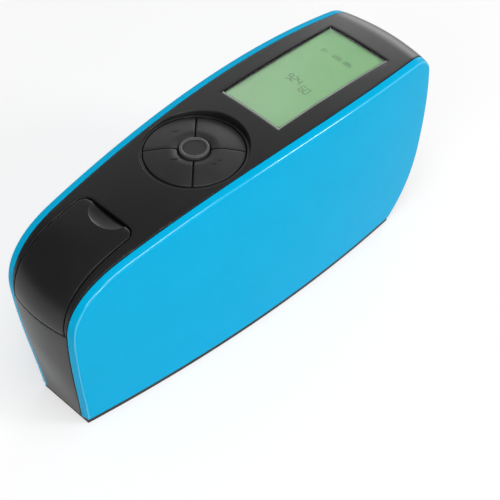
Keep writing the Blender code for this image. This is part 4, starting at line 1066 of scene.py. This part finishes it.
def finish_surface(tree, shader, height, roughness, spread, strength, depth):
    """Roughness that follows a pattern's height by a share either way, and its bump."""
    rough = add(tree, "ShaderNodeMapRange", {
        "From Min": 0.3, "From Max": 0.7, "To Min": roughness * (1 - spread),
        "To Max": roughness * (1 + spread), "Value": height})
    bump = add(tree, "ShaderNodeBump", {"Strength": strength, "Distance": depth, "Height": height})
    add(tree, shader, {"Roughness": rough.outputs["Result"], "Normal": bump.outputs["Normal"]})


def mottle(tree, place, colours, millimetres):
    """Colour that drifts between two hex colours over a distance."""
    slow = add(tree, "ShaderNodeTexNoise", {"Scale": per_mm(millimetres), "Detail": 2.0, "Vector": place})
    ramp = add(tree, "ShaderNodeValToRGB", {"Fac": slow.outputs["Fac"]})
    for element, position, colour in zip(ramp.color_ramp.elements, (0.35, 0.65), colours):
        element.position, element.color = position, linear(colour)
    return ramp.outputs["Color"]


def moulded(name, colours, roughness, specular, grain_mm, grain_depth, drift_mm=18.0, ior=1.53):
    """Injection moulded plastic: colour drift from the flow of the melt, and the tool's grain."""
    material, tree, shader, place = start_material(name, {"IOR": ior, "Specular IOR Level": specular})
    add(tree, shader, {"Base Color": mottle(tree, place, colours, drift_mm)})
    grain = add(tree, "ShaderNodeTexNoise", {"Scale": per_mm(grain_mm), "Detail": 3.0, "Vector": place})
    finish_surface(tree, shader, grain.outputs["Fac"], roughness, 0.10, 0.5, grain_depth)
    return material


def metal(name, colours, roughness, grain_mm, stretch=(1.0, 1.0, 1.0)):
    """Metal with the marks that its making leaves: grain drawn out along one axis where it was rolled."""
    material, tree, shader, place = start_material(name, {"Metallic": 1.0})
    add(tree, shader, {"Base Color": mottle(tree, place, colours, 4.0)})
    along = add(tree, "ShaderNodeMapping", {"Scale": stretch, "Vector": place})
    grain = add(tree, "ShaderNodeTexNoise", {"Scale": per_mm(grain_mm), "Detail": 4.0,
                                             "Vector": along.outputs[0]})
    finish_surface(tree, shader, grain.outputs["Fac"], roughness, 0.25, 0.4, 0.000004)
    return material


def clear(name, ior, colours):
    """Clear body, polished, with the faint smears of handling in its roughness."""
    material, tree, shader, place = start_material(name, {"IOR": ior, "Transmission Weight": 1.0})
    smear = add(tree, "ShaderNodeTexNoise", {"Scale": per_mm(9.0), "Detail": 2.0, "Vector": place})
    rough = add(tree, "ShaderNodeMapRange", {"From Min": 0.4, "From Max": 0.7, "To Min": 0.01, "To Max": 0.04,
                                             "Value": smear.outputs["Fac"]})
    add(tree, shader, {"Base Color": mottle(tree, place, colours, 12.0), "Roughness": rough.outputs["Result"]})
    return material


def laminate():
    """Glass epoxy laminate, pressed and coated: green mask with raised copper runs under it."""
    material, tree, shader, place = start_material("glass_epoxy_laminate", {"IOR": 1.55})
    runs = add(tree, "ShaderNodeTexBrick", {
        "Scale": per_mm(2.4), "Mortar Size": 0.10, "Mortar Smooth": 0.2, "Color1": linear("#0E5A36"),
        "Color2": linear("#115F3A"), "Mortar": linear("#1F7A4C"), "Brick Width": 2.2, "Row Height": 0.8,
        "Vector": place})
    weave = add(tree, "ShaderNodeTexNoise", {"Scale": per_mm(0.5), "Detail": 2.0, "Vector": place})
    height = add(tree, "ShaderNodeMath", {"operation": "MULTIPLY_ADD", 0: runs.outputs["Fac"], 1: 0.6,
                                          2: weave.outputs["Fac"]})
    add(tree, shader, {"Base Color": runs.outputs["Color"]})
    finish_surface(tree, shader, height.outputs[0], 0.35, 0.2, 0.4, 0.00003)
    return material


def display_glass():
    """Reflective liquid crystal glass: silvery green film, clouded, with a painted reflection that makes it
    paler towards its far nose corner.
    """
    film = {"IOR": 1.50, "Specular IOR Level": 0.2}
    material, tree, shader, place = start_material("reflective_lcd_film", film)
    split = add(tree, "ShaderNodeSeparateXYZ", {"Vector": place}).outputs
    across = add(tree, "ShaderNodeMath", {"operation": "MULTIPLY_ADD", 0: split["X"], 1: -1.0, 2: split["Y"]})
    # Painted reflection: the film turns paler towards its far nose corner
    pale = add(tree, "ShaderNodeMapRange", {"From Min": -0.062, "From Max": 0.004, "To Min": 0.0, "To Max": 1.0,
                                            "Value": across.outputs[0]})
    cloud = add(tree, "ShaderNodeTexNoise", {"Scale": per_mm(7.0), "Detail": 2.0, "Vector": place})
    share = add(tree, "ShaderNodeMath", {"operation": "MULTIPLY_ADD", 0: cloud.outputs["Fac"], 1: 0.25,
                                         2: pale.outputs["Result"]})
    ramp = add(tree, "ShaderNodeValToRGB", {"Fac": share.outputs[0]})
    for element, position, colour in zip(ramp.color_ramp.elements, (0.10, 1.0), LCD_FILM_AND_REFLECTION_COLOURS):
        element.position, element.color = position, linear(colour)
    add(tree, shader, {"Base Color": ramp.outputs["Color"]})
    finish_surface(tree, shader, cloud.outputs["Fac"], 0.42, 0.12, 0.1, 0.000004)
    return material


# Stage

BRIGHT_SIDE = Vector((0.80, 0.30, -0.50)).normalized()   # side on which gloss sees the white backdrop
SKY_LEVEL = 0.20
LAMPS = (                    # name, place, edge, power
    ("softbox_above", (-0.10, -0.35, 1.20), 0.80, 9.5),
    ("softbox_near", (0.55, -0.80, 0.60), 0.30, 4.0),
    ("softbox_front", (-0.45, -0.95, 0.45), 0.26, 2.2),
    ("softbox_nose", (-0.95, -0.40, 0.75), 0.60, 3.2),
    ("softbox_tail", (1.15, 0.60, 0.40), 0.60, 4.0),
)
FLOOR_WHITE = 0.55           # share of plain white that the camera sees in the floor


def white_share(tree, gloss):
    """Share of white: whole to camera and transmission rays, and to glossy rays the share given."""
    rays = add(tree, "ShaderNodeLightPath").outputs
    direct = add(tree, "ShaderNodeMath", {"operation": "MULTIPLY_ADD", 0: rays["Is Glossy Ray"], 1: gloss,
                                          2: rays["Is Camera Ray"]})
    return add(tree, "ShaderNodeMath", {"operation": "ADD", "use_clamp": True, 0: direct.outputs[0],
                                        1: rays["Is Transmission Ray"]}).outputs[0]


def make_floor():
    """Pale paper floor, whiter to the camera by a share that leaves the shadow."""
    bpy.ops.mesh.primitive_plane_add(size=8.0, location=(0, 0, -0.00005))
    floor = bpy.context.object
    floor.name = "floor"
    material, tree, shader, place = start_material("floor_paper", {"Roughness": 0.9, "Specular IOR Level": 0.1})
    add(tree, shader, {"Base Color": mottle(tree, place, ("#F5F5F5", "#F7F7F7"), 300.0)})
    white = add(tree, "ShaderNodeEmission", {"Strength": 1.0})
    seen = add(tree, "ShaderNodeMath", {"operation": "MULTIPLY", 0: white_share(tree, 1.0), 1: FLOOR_WHITE})
    both = add(tree, "ShaderNodeMixShader", {0: seen.outputs[0], 1: shader.outputs[0], 2: white.outputs[0]})
    add(tree, tree.nodes["Material Output"], {"Surface": both.outputs[0]})
    floor.data.materials.append(material)


def make_world():
    """Even dim sky, white to the camera and through glass, and to gloss on the bright side."""
    world = bpy.data.worlds.new("studio")
    bpy.context.scene.world = world
    world.use_nodes = True
    tree = world.node_tree
    plain_white = (1.0, 1.0, 1.0, 1.0)
    dim = add(tree, tree.nodes["Background"], {"Color": plain_white, "Strength": SKY_LEVEL})
    white = add(tree, "ShaderNodeBackground", {"Color": plain_white, "Strength": 1.0})
    way = add(tree, "ShaderNodeTexCoord").outputs["Generated"]
    lean = add(tree, "ShaderNodeVectorMath", {"operation": "DOT_PRODUCT", 0: way, 1: BRIGHT_SIDE})
    share = add(tree, "ShaderNodeMapRange", {"interpolation_type": "SMOOTHSTEP", "From Min": -0.10,
                                             "From Max": 0.33, "Value": lean.outputs["Value"]})
    both = add(tree, "ShaderNodeMixShader", {0: white_share(tree, share.outputs["Result"]), 1: dim.outputs[0],
                                             2: white.outputs[0]})
    add(tree, tree.nodes["World Output"], {"Surface": both.outputs[0]})


def make_stage():
    """Floor, world and soft lamps."""
    make_floor()
    make_world()
    for name, place, edge, power in LAMPS:
        lamp = bpy.data.lights.new(name, "AREA")
        lamp.shape, lamp.size, lamp.energy = "SQUARE", edge, power
        obj = bpy.data.objects.new(name, lamp)
        bpy.context.scene.collection.objects.link(obj)
        obj.location = place
        obj.rotation_euler = (Vector((0, 0, 0.04)) - Vector(place)).to_track_quat("-Z", "Y").to_euler()


def make_camera():
    """Camera at the photograph's place, turned so that the target falls on its pixel."""
    turn_angle, rise, roll = (math.radians(a) for a in (CAMERA_TURN, CAMERA_RISE, CAMERA_ROLL))
    back = Vector((-math.cos(turn_angle) * math.cos(rise), -math.sin(turn_angle) * math.cos(rise),
                   math.sin(rise)))
    right = Vector((0, 0, 1)).cross(back).normalized()
    up = back.cross(right)
    rows = Matrix((right * math.cos(roll) + up * math.sin(roll),
                   up * math.cos(roll) - right * math.sin(roll), back))
    aim = Vector(((TARGET_PIXEL[0] - PHOTO_SIDE / 2) / FOCAL_PIXELS,
                  (PHOTO_SIDE / 2 - TARGET_PIXEL[1]) / FOCAL_PIXELS, -1.0)).normalized()
    yaw, pitch = math.atan2(aim.x, -aim.z), math.asin(aim.y)
    tilt = Matrix(((1, 0, 0), (0, math.cos(pitch), -math.sin(pitch)), (0, math.sin(pitch), math.cos(pitch))))
    swing = Matrix(((math.cos(yaw), 0, -math.sin(yaw)), (0, 1, 0), (math.sin(yaw), 0, math.cos(yaw))))
    facing = (swing @ tilt @ rows).transposed().to_4x4()
    data = bpy.data.cameras.new("camera")
    data.sensor_width = SENSOR_WIDTH
    data.lens = FOCAL_PIXELS * SENSOR_WIDTH / PHOTO_SIDE
    data.clip_start, data.clip_end = 0.01, 20.0
    camera = bpy.data.objects.new("camera", data)
    bpy.context.scene.collection.objects.link(camera)
    camera.matrix_world = Matrix.Translation(CAMERA_TARGET + back * CAMERA_DISTANCE) @ facing
    bpy.context.scene.camera = camera


def paint(node, material):
    """Give a carried-over solid its finish."""
    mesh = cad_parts[node].data
    mesh.materials.clear()
    mesh.materials.append(material)


def main():
    make_camera()
    make_stage()
    # ABS moulded in a polished tool: even, deep colour, soft-edged highlights, a trace of orange peel
    blue = moulded("blue_abs_moulded", ("#04A2CE", "#05A4D0"), 0.24, 0.025, 2.5, 0.000008)
    # Its rounded creases: the blue painted lighter as a highlight along them, with a sharper, stronger shine
    crease = moulded("blue_abs_crease_painted_highlight", ("#0FAAD6", "#12ADD9"), 0.14, 0.85, 2.5, 0.000002)
    # ABS moulded in a spark-eroded tool: satin black whose grain is drawn at 0.5 mm, coarser than the
    # real 0.1 mm, as that is the least that shows
    black = moulded("black_abs_satin", ("#111112", "#151516"), 0.34, 0.32, 0.5, 0.000018)
    # Same ABS in a finer tool, greyer where fingers rub it
    key_black = moulded("key_abs_rubbed", ("#1B1B1C", "#202021"), 0.44, 0.28, 0.5, 0.000015, drift_mm=6.0)
    # The centre key's bead: grey painted in as the sheen of its rounded face, with a soft shine
    bead_painted_sheen = moulded("key_abs_bead_painted_sheen", ("#39393B", "#414143"), 0.46, 0.40, 0.5, 0.000006, drift_mm=4.0)
    # Glass filled nylon 6.6, moulded: dull black with flow marks
    nylon = moulded("nylon_glass_filled", ("#101010", "#1A1A1A"), 0.62, 0.40, 0.6, 0.00004, drift_mm=8.0)
    # Acetal sole, moulded: waxy dark surface with long rubbing marks
    sole = moulded("acetal_sole", ("#191A1B", "#212223"), 0.50, 0.40, 1.2, 0.00002, drift_mm=10.0)
    # Solder mask over glass epoxy: glossy green
    board = laminate()
    # Aluminium, machined and black anodised: dark with a dull metallic edge
    anodised = metal("aluminium_black_anodised", ("#191919", "#222223"), 0.45, 0.3, (1.0, 0.15, 1.0))
    # Spring steel strip and wire, nickel plated and rolled: bright with drawn-out grain
    steel = metal("spring_steel_nickel", ("#BDBBB6", "#CFCDC8"), 0.26, 0.4, (0.2, 1.0, 1.0))
    # Turned brass: warm, with turning rings round its length
    brass = metal("brass_turned", ("#BE9144", "#CDA355"), 0.28, 0.4, (0.2, 0.2, 1.0))
    # Tinned copper leads: pale grey, slightly dull
    tinned = metal("copper_tinned", ("#A9ABAE", "#BFC1C4"), 0.35, 0.3)
    # Shrunk vinyl sleeve of the cell: dark film with shallow wrinkles
    sleeve = moulded("vinyl_sleeve_shrunk", ("#26272B", "#303137"), 0.28, 0.5, 2.2, 0.00005, drift_mm=7.0)
    # Cast acrylic, polished: clear with the faintest green
    pane = clear("acrylic_cast", 1.49, ("#F1F8F1", "#F7FBF7"))
    # Crown glass lenses and clear epoxy lamp bodies: water white
    lens = clear("crown_glass_polished", 1.52, ("#F7F9FB", "#FCFDFE"))
    epoxy = clear("epoxy_cast", 1.54, ("#F2EFE4", "#F8F5EA"))
    # Liquid crystal behind a polariser: grey green film with a painted reflection towards its far nose corner,
    # its digits only a little darker
    lcd = display_glass()
    digits_ink = moulded("liquid_crystal_dark", ("#38573A", "#3F5F41"), 0.45, 0.2, 0.4, 0.000001)
    # The pane's rim: acrylic painted pale grey as a highlight along the glass edge, so it reads as a pale grey
    # line
    rim_painted_highlight = moulded("acrylic_rim_painted_highlight", ("#8C958D", "#9BA49C"), 0.50, 0.3, 0.4, 0.000004)
    # Lacquer on the pane's walls, sprayed: dead black, without shine of its own under the glass;
    # it also covers the far and tail sides of the rim, which get no painted highlight
    lacquer = moulded("lacquer_black_sprayed", ("#0C0C0C", "#121212"), 0.80, 0.0, 0.3, 0.000002, ior=1.0)
    # Pad print on the keys: flat black
    print_ink = moulded("pad_print_black", ("#0B0B0B", "#121212"), 0.70, 0.2, 0.3, 0.000002)
    make_shell("blue_side_right", "right_shell", -1, blue, crease)
    make_shell("blue_side_left", "left_shell", 1, blue, crease)
    make_bosses(blue)
    make_covers(black, nylon)
    make_lid(black)
    make_keys(key_black)
    make_centre_key(key_black, bead_painted_sheen)
    make_domes(steel)
    make_window(pane, rim_painted_highlight, lacquer)
    make_marks(digits_ink, print_ink)
    make_screws(steel)
    make_board_parts(nylon, tinned)
    finishes = {
        lcd: ["display_panel"],
        nylon: ["display_frame", "battery_tray"],
        sole: ["base_plate"],
        board: ["key_board", "main_board"],
        anodised: ["optics_block"],
        steel: ["cover_contact", "battery_spring"],
        brass: [f"board_spacer_{k}" for k in range(1, 5)],
        lens: ["source_lens", "receiver_lens"],
        epoxy: ["source_lamp", "light_sensor"],
        sleeve: ["battery_cell"],
    }
    for material, nodes in finishes.items():
        for node in nodes:
            paint(node, material)


main()
bpy.context.scene.view_settings.view_transform = "Standard"
